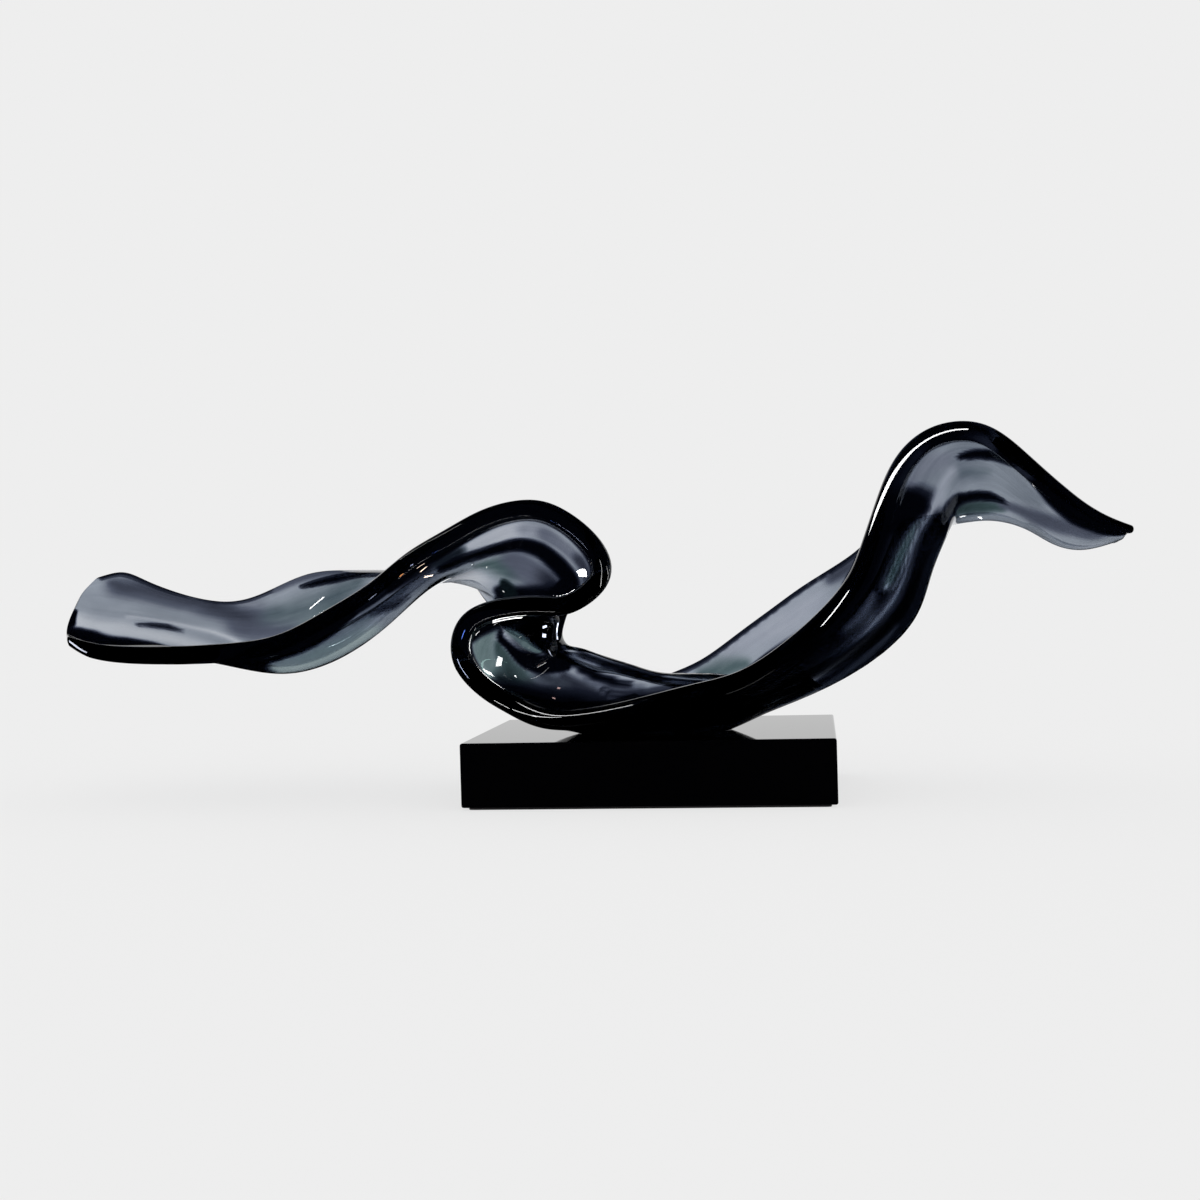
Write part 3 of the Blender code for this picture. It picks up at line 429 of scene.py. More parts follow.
def smoked_resin():
    """Cast polyester resin with smoke dye and painted shade, sanded and buffed to a wet gloss."""
    # Thin webs stay clear enough to see through and thick rims close to black. The tone read from the
    # ribbon is dye together with painted shade and painted reflections, and the dye lies in soft clouds and
    # in streaks that follow the pour.
    material, tree, output = new_material("cast polyester resin, smoke dyed, painted shade, buffed")
    smoke_and_shade = add_node(tree, "Attribute", attribute_name="smoke_and_shade").outputs["Fac"]
    green = add_node(tree, "Attribute", attribute_name="green").outputs["Fac"]
    place = add_node(tree, "TexCoord")
    cloud = add_node(
        tree, "TexNoise", {"Scale": 1 / CLOUD_SIZE, "Detail": 3.0, "Roughness": 0.5},
        {"Vector": place.outputs["Object"]},
    )
    along = add_node(tree, "Mapping", {"Scale": STREAKS_IN_MAP}, {"Vector": place.outputs["UV"]})
    streak = add_node(
        tree, "TexNoise", {"Scale": 1.0, "Detail": 2.0, "Roughness": 0.5},
        {"Vector": along.outputs["Vector"]},
    )
    clouds = add_node(
        tree, "Math", {1: CLOUD_DEPTH, 2: -(CLOUD_DEPTH + STREAK_DEPTH) / 2},
        {0: cloud.outputs["Fac"]}, operation="MULTIPLY_ADD",
    )
    uneven = add_node(
        tree, "Math", {1: STREAK_DEPTH}, {0: streak.outputs["Fac"], 2: clouds.outputs[0]},
        operation="MULTIPLY_ADD",
    )
    # Neither clear nor black resin can be uneven, so the share of both limits it
    clear = add_node(tree, "Math", {0: 1.0}, {1: smoke_and_shade}, operation="SUBTRACT")
    room = add_node(tree, "Math", links={0: smoke_and_shade, 1: clear.outputs[0]}, operation="MULTIPLY")
    stirred = add_node(
        tree, "Math", links={0: uneven.outputs[0], 1: room.outputs[0], 2: smoke_and_shade},
        operation="MULTIPLY_ADD",
    )
    violet_grey, green_grey = (
        add_node(tree, "ValToRGB", links={"Fac": stirred.outputs[0]}, stops=stops)
        for stops in (VIOLET_RAMP, GREEN_RAMP)
    )
    colour = add_node(
        tree, "Mix",
        links={"Factor": green, 6: violet_grey.outputs["Color"], 7: green_grey.outputs["Color"]},
        data_type="RGBA",
    )
    ripple = add_node(
        tree, "TexNoise", {"Scale": 1 / RIPPLE_SIZE, "Detail": 1.0},
        {"Vector": place.outputs["Object"]},
    ).outputs["Fac"]
    polish = add_node(tree, "Bump", {"Strength": 1.0, "Distance": RIPPLE_DEPTH}, {"Height": ripple})
    shader = add_node(
        tree, "BsdfPrincipled",
        {"Roughness": 0.02, "IOR": 1.54, "Transmission Weight": 1.0},
        {"Base Color": colour.outputs[2], "Normal": polish.outputs["Normal"]},
    )
    depth = add_node(
        tree, "VolumeAbsorption", {"Color": (*settings().resin_depth, 1), "Density": 60.0},
    )
    tree.links.new(shader.outputs["BSDF"], output.inputs["Surface"])
    tree.links.new(depth.outputs["Volume"], output.inputs["Volume"])
    return material


def black_lacquer():
    """Gloss black lacquer, sprayed over a wooden block and buffed."""
    # It mirrors like glass at a low angle. Close up it has a faint orange peel, hazy wipe
    # marks in its gloss and a few flecks of dust.
    material, tree, output = new_material("polyester lacquer, gloss black, sprayed and buffed")
    place = add_node(tree, "TexCoord").outputs["Object"]
    wipe = add_node(tree, "TexNoise", {"Scale": 1 / WIPE_SIZE, "Detail": 4.0}, {"Vector": place})
    haze = add_node(
        tree, "MapRange", {"From Min": 0.4, "From Max": 0.8, "To Min": 0.015, "To Max": 0.06},
        {"Value": wipe.outputs["Fac"]},
    )
    fleck = add_node(tree, "TexVoronoi", {"Scale": 1 / DUST_SPACING}, {"Vector": place})
    dust = add_node(
        tree, "MapRange", {"From Min": 0.0, "From Max": DUST_SHARE, "To Min": 1.0, "To Max": 0.0},
        {"Value": fleck.outputs["Distance"]},
    )
    colour = add_node(
        tree, "Mix", {6: (*settings().lacquer, 1), 7: (*linear(DUST_COLOUR), 1)},
        {"Factor": dust.outputs["Result"]}, data_type="RGBA",
    )
    peel = add_node(tree, "TexNoise", {"Scale": 1 / PEEL_SIZE, "Detail": 1.0}, {"Vector": place})
    bump = add_node(tree, "Bump", {"Distance": PEEL_DEPTH}, {"Height": peel.outputs["Fac"]})
    shader = add_node(
        tree, "BsdfPrincipled", {"IOR": 1.5},
        {
            "Base Color": colour.outputs[2], "Roughness": haze.outputs["Result"],
            "Normal": bump.outputs["Normal"],
        },
    )
    tree.links.new(shader.outputs["BSDF"], output.inputs["Surface"])
    return material


def pressed_felt():
    """Pressed wool felt: matt, with a fuzz of short fibres in every direction."""
    material, tree, output = new_material("wool felt, pressed and dyed")
    place = add_node(tree, "TexCoord").outputs["Object"]
    # Wool fibres are 0.03 mm thick, too fine to show, so they are drawn in tufts of a millimetre
    tufts = add_node(
        tree, "TexNoise", {"Scale": 1 / TUFT_SIZE, "Detail": 6.0, "Roughness": 0.7, "Distortion": 1.5},
        {"Vector": place},
    )
    shade = add_node(
        tree, "MapRange", {"From Min": 0.3, "From Max": 0.7, "To Min": 0.5, "To Max": 1.6},
        {"Value": tufts.outputs["Fac"]},
    )
    colour = add_node(
        tree, "VectorMath", {0: tuple(settings().felt)}, {"Scale": shade.outputs["Result"]},
        operation="SCALE",
    )
    bump = add_node(tree, "Bump", {"Distance": TUFT_DEPTH}, {"Height": tufts.outputs["Fac"]})
    shader = add_node(
        tree, "BsdfPrincipled", {"Roughness": 0.95, "Sheen Weight": 0.5, "Sheen Roughness": 0.5},
        {"Base Color": colour.outputs[0], "Normal": bump.outputs["Normal"]},
    )
    tree.links.new(shader.outputs["BSDF"], output.inputs["Surface"])
    return material


def bare_metal(name, tint, roughness, grain, grain_depth):
    """A metal with patches of a lighter and a darker tone, and a fine grain in its gloss."""
    material, tree, output = new_material(name)
    place = add_node(tree, "TexCoord").outputs["Object"]
    patches = add_node(tree, "TexNoise", {"Scale": 1 / METAL_PATCH, "Detail": 3.0}, {"Vector": place})
    shade = add_node(
        tree, "MapRange", {"From Min": 0.3, "From Max": 0.7, "To Min": 0.8, "To Max": 1.05},
        {"Value": patches.outputs["Fac"]},
    )
    colour = add_node(
        tree, "VectorMath", {0: tuple(tint)}, {"Scale": shade.outputs["Result"]}, operation="SCALE",
    )
    dull = add_node(
        tree, "MapRange",
        {"From Min": 0.3, "From Max": 0.7, "To Min": roughness * 0.8, "To Max": roughness * 1.3},
        {"Value": patches.outputs["Fac"]},
    )
    lay = add_node(tree, "Mapping", {"Scale": [1 / size for size in grain]}, {"Vector": place})
    marks = add_node(tree, "TexNoise", {"Scale": 1.0, "Detail": 2.0}, {"Vector": lay.outputs["Vector"]})
    bump = add_node(tree, "Bump", {"Distance": grain_depth}, {"Height": marks.outputs["Fac"]})
    shader = add_node(
        tree, "BsdfPrincipled", {"Metallic": 1.0},
        {
            "Base Color": colour.outputs[0], "Roughness": dull.outputs["Result"],
            "Normal": bump.outputs["Normal"],
        },
    )
    tree.links.new(shader.outputs["BSDF"], output.inputs["Surface"])
    return material


def plated_steel():
    """Cold-headed steel, barrel plated with zinc: a soft grey shine with cloudy patches."""
    return bare_metal("steel, zinc plated", settings().steel, 0.34, PLATING_GRAIN, PLATING_DEPTH)


def turned_brass():
    """Free-cutting brass, turned: a warm shine with fine rings from the tool round its axis."""
    return bare_metal("brass, turned", settings().brass, 0.22, TOOL_MARKS, TOOL_MARK_DEPTH)


def curve_through(places, knots, wanted):
    """Natural cubic curve through places at their knots, read at the wanted values."""
    count = len(knots)
    gap = np.diff(knots)
    system = np.eye(count)
    known = np.zeros_like(places, dtype=float)
    for i in range(1, count - 1):
        system[i, i - 1] = gap[i - 1]
        system[i, i] = 2 * (gap[i - 1] + gap[i])
        system[i, i + 1] = gap[i]
        after = (places[i + 1] - places[i]) / gap[i]
        before = (places[i] - places[i - 1]) / gap[i - 1]
        known[i] = 6 * (after - before)
    bend = np.linalg.solve(system, known.reshape(count, -1)).reshape(known.shape)
    span = np.clip(np.searchsorted(knots, wanted, side="right") - 1, 0, count - 2)
    shape = (-1,) + (1,) * (places.ndim - 1)
    width = gap[span].reshape(shape)
    left = ((knots[span + 1] - wanted) / gap[span]).reshape(shape)
    right = 1 - left
    pull = (left**3 - left) * bend[span] + (right**3 - right) * bend[span + 1]
    return left * places[span] + right * places[span + 1] + pull * width**2 / 6


def ease(share):
    """A share from 0 to 1 that starts and ends gently."""
    return share * share * (3 - 2 * share)


def unit(vectors):
    """The vectors, each made one long."""
    return vectors / np.linalg.norm(vectors, axis=-1, keepdims=True)


def ribbon_sheet():
    """Middle surface of the ribbon: places, half thickness, station and share across."""
    rails = []
    for front, back, *rest in STATIONS:
        depth = [front + (back - front) * share for share in RAIL_SHARE]
        rails.append([(x * MM, y * MM, PLINTH_TOP + z * MM) for (x, z), y in zip(rest[:6], depth)])
    rails = np.array(rails)
    travel = np.linalg.norm(np.diff(rails, axis=0), axis=2).mean(axis=1) ** TRAVEL_EVENNESS
    knots = np.concatenate(([0.0], np.cumsum(travel)))
    even = np.linspace(0, knots[-1], RIBBON_STEPS + 1)
    station = np.linspace(0, len(knots) - 1, RIBBON_STEPS + 1)
    crowded = np.interp(station, range(len(knots)), knots)
    wanted = even + CURL_CROWDING * (crowded - even)
    rails = curve_through(rails, knots, wanted)
    walls = np.interp(wanted, knots, [row[8] * MM for row in STATIONS])
    shares = np.interp(wanted, knots, [row[9] for row in STATIONS])
    sheet, half, across = [], [], []
    for section, wall, rim_share in zip(rails, walls, shares):
        reach = np.linalg.norm(np.diff(section, axis=0), axis=1) ** SECTION_EVENNESS
        marks = np.concatenate(([0.0], np.cumsum(reach)))
        fine = curve_through(section, marks, np.linspace(0, marks[-1], CURVE_SAMPLES))
        run = np.concatenate(([0.0], np.cumsum(np.linalg.norm(np.diff(fine, axis=0), axis=1))))
        steps = np.linspace(0, 1, WALL_STEPS + 1)
        eased = steps + RIM_CROWDING * ((1 - np.cos(math.pi * steps)) / 2 - steps)
        place = eased * run[-1]
        sheet.append(np.stack([np.interp(place, run, fine[:, axis]) for axis in range(3)], axis=1))
        to_back = ease(np.clip((eased - THIN_FROM) / (THIN_BY - THIN_FROM), 0, 1))
        plain = wall / 2 + (min(wall, BACK_WALL) / 2 - wall / 2) * to_back
        near_front = np.exp(-((place / RIM_BLEND) ** 2))
        near_back = np.exp(-(((run[-1] - place) / RIM_BLEND) ** 2))
        front = FRONT_RIM / 2 * rim_share
        back = min(BACK_RIM, wall * BACK_RIM_TO_WALL) / 2
        half.append(plain + (front - plain) * near_front + (back - plain) * near_back)
        across.append(eased)
    stations = np.interp(wanted, knots, range(len(knots)))
    return np.array(sheet), np.array(half), stations, np.array(across)


def on_sheet(sheet, row, column):
    """Places on the sheet, between its rows and columns."""
    top = np.minimum(row.astype(int), sheet.shape[0] - 2)
    left = np.minimum(column.astype(int), sheet.shape[1] - 2)
    down, along = (row - top)[:, None], (column - left)[:, None]
    upper = sheet[top, left] + along * (sheet[top, left + 1] - sheet[top, left])
    lower = sheet[top + 1, left] + along * (sheet[top + 1, left + 1] - sheet[top + 1, left])
    return upper + down * (lower - upper)


def smoke_and_shade_over(sheet, half, stations, across):
    """Depth and green of the smoke and painted shade over the sheet: the web, the wisps, then the thick
    rims.
    """
    smoke_and_shade = np.full(half.shape, WEB_SMOKE)
    green = np.full(half.shape, WEB_GREEN)
    for depth, tint, fade, *path in SMOKE_AND_SHADE_WISPS.values():
        path = np.array(path, dtype=float)
        marks = range(len(path))
        dense = np.linspace(0, len(path) - 1, WISP_SAMPLES * len(path))
        station, share, width = (np.interp(dense, marks, column) for column in path.T)
        row = np.interp(station, stations, range(len(stations)))
        column = np.interp(share, across[0], range(across.shape[1]))
        spots = on_sheet(sheet, row, column)
        near = (stations > station.min() - WISP_REACH) & (stations < station.max() + WISP_REACH)
        away = np.linalg.norm(sheet[near][:, :, None] - spots, axis=3) / (width * MM)
        away[abs(across[near][:, :, None] - share) > WISP_SPREAD] = OUT_OF_REACH
        weight = ease(np.clip((1 - away.min(axis=2)) / fade, 0, 1))
        smoke_and_shade[near] += weight * (depth - smoke_and_shade[near])
        green[near] += weight * (tint - green[near])
    # Thick rims are painted black: partly the depth of smoke in thick resin, partly painted reflection of
    # the dark surroundings along a thick rounded edge
    web = half[:, WALL_STEPS // 3][:, None]
    swell = (half - web) / np.maximum(half[:, :1] - web, LEAST_SWELL)
    thick = np.clip((swell - RIM_SMOKE_AND_SHADE_FROM) / (RIM_SMOKE_AND_SHADE_BY - RIM_SMOKE_AND_SHADE_FROM), 0, 1)
    smoke_and_shade += thick * (1 - smoke_and_shade)
    return smoke_and_shade, green


def ribbon_rings():
    """Rings round the ribbon from end to end, with the smoke, painted shade and green at their places."""
    sheet, half, stations, across = ribbon_sheet()
    smoke_and_shade, green = smoke_and_shade_over(sheet, half, stations, across)
    angles = [math.pi / 2 * step / END_STEPS for step in range(1, END_STEPS + 1)]
    before = unit(sheet[0] - sheet[1]) * half[0][:, None]
    after = unit(sheet[-1] - sheet[-2]) * half[-1][:, None]
    first = [sheet[0] + math.sin(angle) * before for angle in reversed(angles)]
    last = [sheet[-1] + math.sin(angle) * after for angle in angles]
    first_half = [math.cos(angle) * half[0] for angle in reversed(angles)]
    last_half = [math.cos(angle) * half[-1] for angle in angles]
    sheet = np.concatenate((first, sheet, last))
    half = np.concatenate((first_half, half, last_half))
    past_ends = ((END_STEPS, END_STEPS), (0, 0))
    smoke_and_shade, green = (np.pad(tone, past_ends, mode="edge") for tone in (smoke_and_shade, green))
    along = np.gradient(sheet, axis=0)
    out = unit(np.gradient(sheet, axis=1))
    up = unit(np.cross(along, out))
    turns = np.array([math.pi * step / RIM_STEPS for step in range(1, RIM_STEPS)])[None, :, None]
    back = sheet[:, -1:] + half[:, -1:, None] * (np.cos(turns) * up[:, -1:] + np.sin(turns) * out[:, -1:])
    front = sheet[:, :1] - half[:, :1, None] * (np.cos(turns) * up[:, :1] + np.sin(turns) * out[:, :1])
    side = half[:, :, None] * up
    rings = np.concatenate((sheet + side, back, (sheet - side)[:, ::-1], front), axis=1)
    tones = []
    for tone in (smoke_and_shade, green):
        rims = [np.repeat(tone[:, column], RIM_STEPS - 1, axis=1) for column in ([-1], [0])]
        tones.append(np.concatenate((tone, rims[0], tone[:, ::-1], rims[1]), axis=1))
    return rings, tones


def box_of(node):
    """The lowest and highest corner of a node's box, and its middle."""
    low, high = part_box(node)
    return low, high, (low + high) / 2


def stand_for(piece, node):
    """Let a piece take its node's place in the frame."""
    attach(piece, "root")
    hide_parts(node)


def only(piece):
    """Select one object and make it the active one."""
    if bpy.context.mode != "OBJECT":
        bpy.ops.object.mode_set(mode="OBJECT")
    bpy.ops.object.select_all(action="DESELECT")
    piece.select_set(True)
    bpy.context.view_layer.objects.active = piece


def edit_chosen(piece, kind):
    """Open a piece in edit mode with only its chosen vertices or faces selected."""
    mesh = piece.data
    for parts in (mesh.edges, mesh.polygons if kind == "VERT" else mesh.vertices):
        parts.foreach_set("select", [False] * len(parts))
    only(piece)
    bpy.ops.object.mode_set(mode="EDIT")
    bpy.ops.mesh.select_mode(type=kind)


def shape_from(primitive, name, material, **sizes):
    """Add a primitive to shape a piece from, with its name and its material."""
    bpy.ops.object.select_all(action="DESELECT")
    getattr(bpy.ops.mesh, f"primitive_{primitive}_add")(**sizes)
    piece = bpy.context.object
    piece.name = piece.data.name = name
    piece.data.materials.append(material)
    return piece


def settle(piece):
    """Put the object's place, turn and size into its mesh."""
    only(piece)
    bpy.ops.object.transform_apply(location=True, rotation=True, scale=True)


def turned(name, middle, rings, material):
    """A solid turned about an upright axis, from the (radius, height) of its rings in order."""
    radius, height = rings[0]
    piece = shape_from(
        "circle", name, material,
        vertices=TURNED_SIDES, radius=radius, fill_type="NGON", location=(middle.x, middle.y, height),
    )
    settle(piece)
    bpy.ops.object.mode_set(mode="EDIT")
    bpy.ops.mesh.select_all(action="SELECT")
    for next_radius, next_height in rings[1:]:
        scale = next_radius / radius
        bpy.ops.mesh.extrude_region_move(TRANSFORM_OT_translate={"value": (0, 0, next_height - height)})
        bpy.ops.transform.resize(value=(scale, scale, 1), center_override=(middle.x, middle.y, next_height))
        radius, height = next_radius, next_height
    bpy.ops.mesh.select_all(action="SELECT")
    bpy.ops.mesh.normals_make_consistent(inside=False)
    bpy.ops.object.mode_set(mode="OBJECT")
    return piece


def knurl(piece, middle, least_radius, low, high):
    """Cut grooves into the widest part of a turned piece, by drawing in every other edge."""
    for vertex in piece.data.vertices:
        x, y = vertex.co.x - middle.x, vertex.co.y - middle.y
        step = round(math.atan2(y, x) / (2 * math.pi) * TURNED_SIDES)
        widest = math.hypot(x, y) > least_radius and low < vertex.co.z < high
        vertex.select = widest and step % 2 == 0
    edit_chosen(piece, "VERT")
    bpy.ops.transform.resize(value=(KNURL, KNURL, 1), center_override=(middle.x, middle.y, low))
    bpy.ops.object.mode_set(mode="OBJECT")


def cut(piece, sides, radius, low, high, middle):
    """Cut an upright hole with so many sides into a piece."""
    bpy.ops.object.select_all(action="DESELECT")
    bpy.ops.mesh.primitive_cylinder_add(
        vertices=sides, radius=radius, depth=high - low, location=(middle.x, middle.y, (low + high) / 2),
    )
    cutter = bpy.context.object
    only(piece)
    boolean = piece.modifiers.new("hole", "BOOLEAN")
    boolean.operation = "DIFFERENCE"
    boolean.solver = "EXACT"
    boolean.object = cutter
    bpy.ops.object.modifier_apply(modifier=boolean.name)
    bpy.data.objects.remove(cutter)


def place_pair(first, kind):
    """Give the left fixing's piece its twin on the right, and let both stand for their nodes."""
    middles = [box_of(f"{kind}_{side}")[2] for side in SIDES]
    only(first)
    bpy.ops.object.duplicate()
    second = bpy.context.object
    second.name = second.data.name = f"{kind}_{SIDES[1]}_detail"
    second.location = middles[1] - middles[0]
    settle(second)
    for side, piece in zip(SIDES, (first, second)):
        only(piece)
        bpy.ops.object.shade_smooth_by_angle(angle=math.radians(TURNED_CREASE))
        stand_for(piece, f"{kind}_{side}")


class WAVE_OT_ribbon(Operator):
    """Cast the resin ribbon from its drawing"""
    bl_idname = "resin_wave.ribbon"
    bl_label = "Resin ribbon"

    def execute(self, context):
        rings, tones = ribbon_rings()
        count = rings.shape[1]
        ribbon = shape_from(
            "grid", "resin_ribbon", smoked_resin(),
            x_subdivisions=count, y_subdivisions=len(rings) - 1, size=1,
        )
        grid = np.zeros(len(ribbon.data.vertices) * 3)
        ribbon.data.vertices.foreach_get("co", grid)
        grid = grid.reshape(-1, 3)
        column = np.rint((grid[:, 0] + 0.5) * count).astype(int) % count
        row = np.rint((grid[:, 1] + 0.5) * (len(rings) - 1)).astype(int)
        ribbon.data.vertices.foreach_set("co", rings[row, column].ravel())
        for name, tone in zip(("smoke_and_shade", "green"), tones):
            layer = ribbon.data.attributes.new(name, "FLOAT", "POINT")
            layer.data.foreach_set("value", tone[row, column].astype(np.float32))
        only(ribbon)
        bpy.ops.object.mode_set(mode="EDIT")
        bpy.ops.mesh.select_all(action="SELECT")
        bpy.ops.mesh.remove_doubles(threshold=MERGE)
        bpy.ops.mesh.normals_make_consistent(inside=False)
        bpy.ops.mesh.bisect(
            plane_co=(0, 0, RIBBON_FOOT), plane_no=(0, 0, 1), use_fill=True, clear_inner=True,
        )
        bpy.ops.mesh.mark_sharp()
        bpy.ops.object.mode_set(mode="OBJECT")
        for side in SIDES:
            low, high, middle = box_of(f"insert_{side}")
            gap = settings().pocket_gap
            radius = (high.x - low.x) / 2 + gap
            cut(ribbon, TURNED_SIDES, radius, low.z - CUT_MARGIN, high.z + gap, middle)
            # The pockets lie in the foot's black resin
            for vertex in ribbon.data.vertices:
                if (vertex.co.xy - middle.xy).length < radius + MERGE and vertex.co.z < high.z + radius:
                    ribbon.data.attributes["smoke_and_shade"].data[vertex.index].value = 1
        only(ribbon)
        bpy.ops.object.shade_smooth_by_angle(angle=math.radians(RIBBON_CREASE))
        stand_for(ribbon, "wave_ribbon")
        return {"FINISHED"}


class WAVE_OT_plinth(Operator):
    """Lacquer the plinth, whose solid already has its edges, bores and recesses"""
    bl_idname = "resin_wave.plinth"
    bl_label = "Plinth"

    def execute(self, context):
        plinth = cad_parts["plinth"]
        plinth.data.materials.clear()
        plinth.data.materials.append(black_lacquer())
        return {"FINISHED"}


class WAVE_OT_felt(Operator):
    """Cut the felt sheet that closes the plinth's recesses"""
    bl_idname = "resin_wave.felt"
    bl_label = "Felt base"

    def execute(self, context):
        low, high, middle = box_of("felt_base")
        size = high - low
        felt = shape_from(
            "grid", "felt_sheet", pressed_felt(),
            x_subdivisions=round(size.x / FELT_GRID), y_subdivisions=round(size.y / FELT_GRID), size=1,
            location=(middle.x, middle.y, low.z),
        )
        felt.scale = (size.x - 2 * FELT_FRAY, size.y - 2 * FELT_FRAY, 1)
        settle(felt)
        for vertex in felt.data.vertices:
            inward = [max(FELT_CORNER - (size[i] / 2 - abs(vertex.co[i] - middle[i])), 0) for i in (0, 1)]
            corner = math.hypot(*inward)
            if corner > FELT_CORNER:
                for i in (0, 1):
                    side = math.copysign(1, vertex.co[i] - middle[i])
                    vertex.co[i] -= side * inward[i] * (1 - FELT_CORNER / corner)
        thick = felt.modifiers.new("thickness", "SOLIDIFY")
        thick.thickness = size.z
        thick.offset = 1
        rounded = felt.modifiers.new("cut edge", "BEVEL")
        rounded.width = FELT_ROUNDED
        rounded.segments = 2
        rounded.limit_method = "ANGLE"
        for modifier in (thick.name, rounded.name):
            bpy.ops.object.modifier_apply(modifier=modifier)
        for vertex in felt.data.vertices:
            edge = min(size[i] / 2 - abs(vertex.co[i] - middle[i]) for i in (0, 1))
            vertex.select = edge < FELT_FRAY + FELT_ROUNDED / 2
        edit_chosen(felt, "VERT")
        bpy.ops.transform.vertex_random(offset=FELT_FRAY, seed=1)
        bpy.ops.mesh.select_all(action="SELECT")
        bpy.ops.mesh.normals_make_consistent(inside=False)
        bpy.ops.object.mode_set(mode="OBJECT")
        for vertex in felt.data.vertices:
            vertex.co.z = min(max(vertex.co.z, low.z), high.z)
        bpy.ops.object.shade_smooth_by_angle(angle=math.radians(FELT_CREASE))
        stand_for(felt, "felt_base")
        return {"FINISHED"}


class WAVE_OT_fixings(Operator):
    """Turn the two socket screws, their washers and the inserts that they screw into"""
    bl_idname = "resin_wave.fixings"
    bl_label = "Fixings"

    def execute(self, context):
        left = SIDES[0]
        steel = plated_steel()
        low, high, middle = box_of(f"bolt_{left}")
        head = (high.x - low.x) / 2
        pitch = settings().thread_pitch
        turns = round(THREAD_LENGTH / pitch)
        threaded_from = high.z - turns * pitch
        root = SHANK_RADIUS - THREAD_DEPTH
        rings = [
            (head - HEAD_CHAMFER, low.z), (head, low.z + HEAD_CHAMFER),
            (head, low.z + HEAD_HEIGHT - HEAD_CHAMFER / 2),
            (head - HEAD_CHAMFER / 2, low.z + HEAD_HEIGHT), (SHANK_RADIUS, low.z + HEAD_HEIGHT),
            (SHANK_RADIUS, threaded_from),
        ]
        for turn in range(turns - 1):
            ridge = threaded_from + turn * pitch
            rings += [(root, ridge + share * pitch) for share in THREAD_ROOT]
            rings += [(SHANK_RADIUS, ridge + share * pitch) for share in THREAD_CREST]
        rings.append((root, high.z))
        screw = turned(f"bolt_{left}_detail", middle, rings, steel)
        knurl(screw, middle, head - MERGE, low.z, low.z + HEAD_HEIGHT)
        socket_radius = settings().socket_width / math.sqrt(3)
        cut(screw, SOCKET_SIDES, socket_radius, low.z - CUT_MARGIN, low.z + SOCKET_DEPTH, middle)
        place_pair(screw, "bolt")

        low, high, middle = box_of(f"washer_{left}")
        rim = (high.x - low.x) / 2
        rings = (
            (rim - WASHER_EDGE, low.z), (rim, low.z + WASHER_EDGE),
            (rim, high.z - WASHER_EDGE), (rim - WASHER_EDGE, high.z),
        )
        washer = turned(f"washer_{left}_detail", middle, rings, steel)
        hole = settings().washer_hole / 2
        cut(washer, TURNED_SIDES, hole, low.z - CUT_MARGIN, high.z + CUT_MARGIN, middle)
        place_pair(washer, "washer")

        low, high, middle = box_of(f"insert_{left}")
        outer = (high.x - low.x) / 2
        rings = (
            (BORE_RADIUS, high.z - INSERT_FLOOR), (BORE_RADIUS, low.z + BORE_CHAMFER),
            (BORE_RADIUS + BORE_CHAMFER, low.z),
            (outer - INSERT_CHAMFER, low.z), (outer, low.z + INSERT_CHAMFER),
            (outer, middle.z - 2 * INSERT_GROOVE), (outer - INSERT_GROOVE, middle.z - INSERT_GROOVE),
            (outer - INSERT_GROOVE, middle.z + INSERT_GROOVE), (outer, middle.z + 2 * INSERT_GROOVE),
            (outer, high.z - INSERT_CHAMFER), (outer - INSERT_CHAMFER, high.z),
        )
        insert = turned(f"insert_{left}_detail", middle, rings, turned_brass())
        knurl(insert, middle, outer - MERGE, low.z, high.z)
        place_pair(insert, "insert")
        return {"FINISHED"}


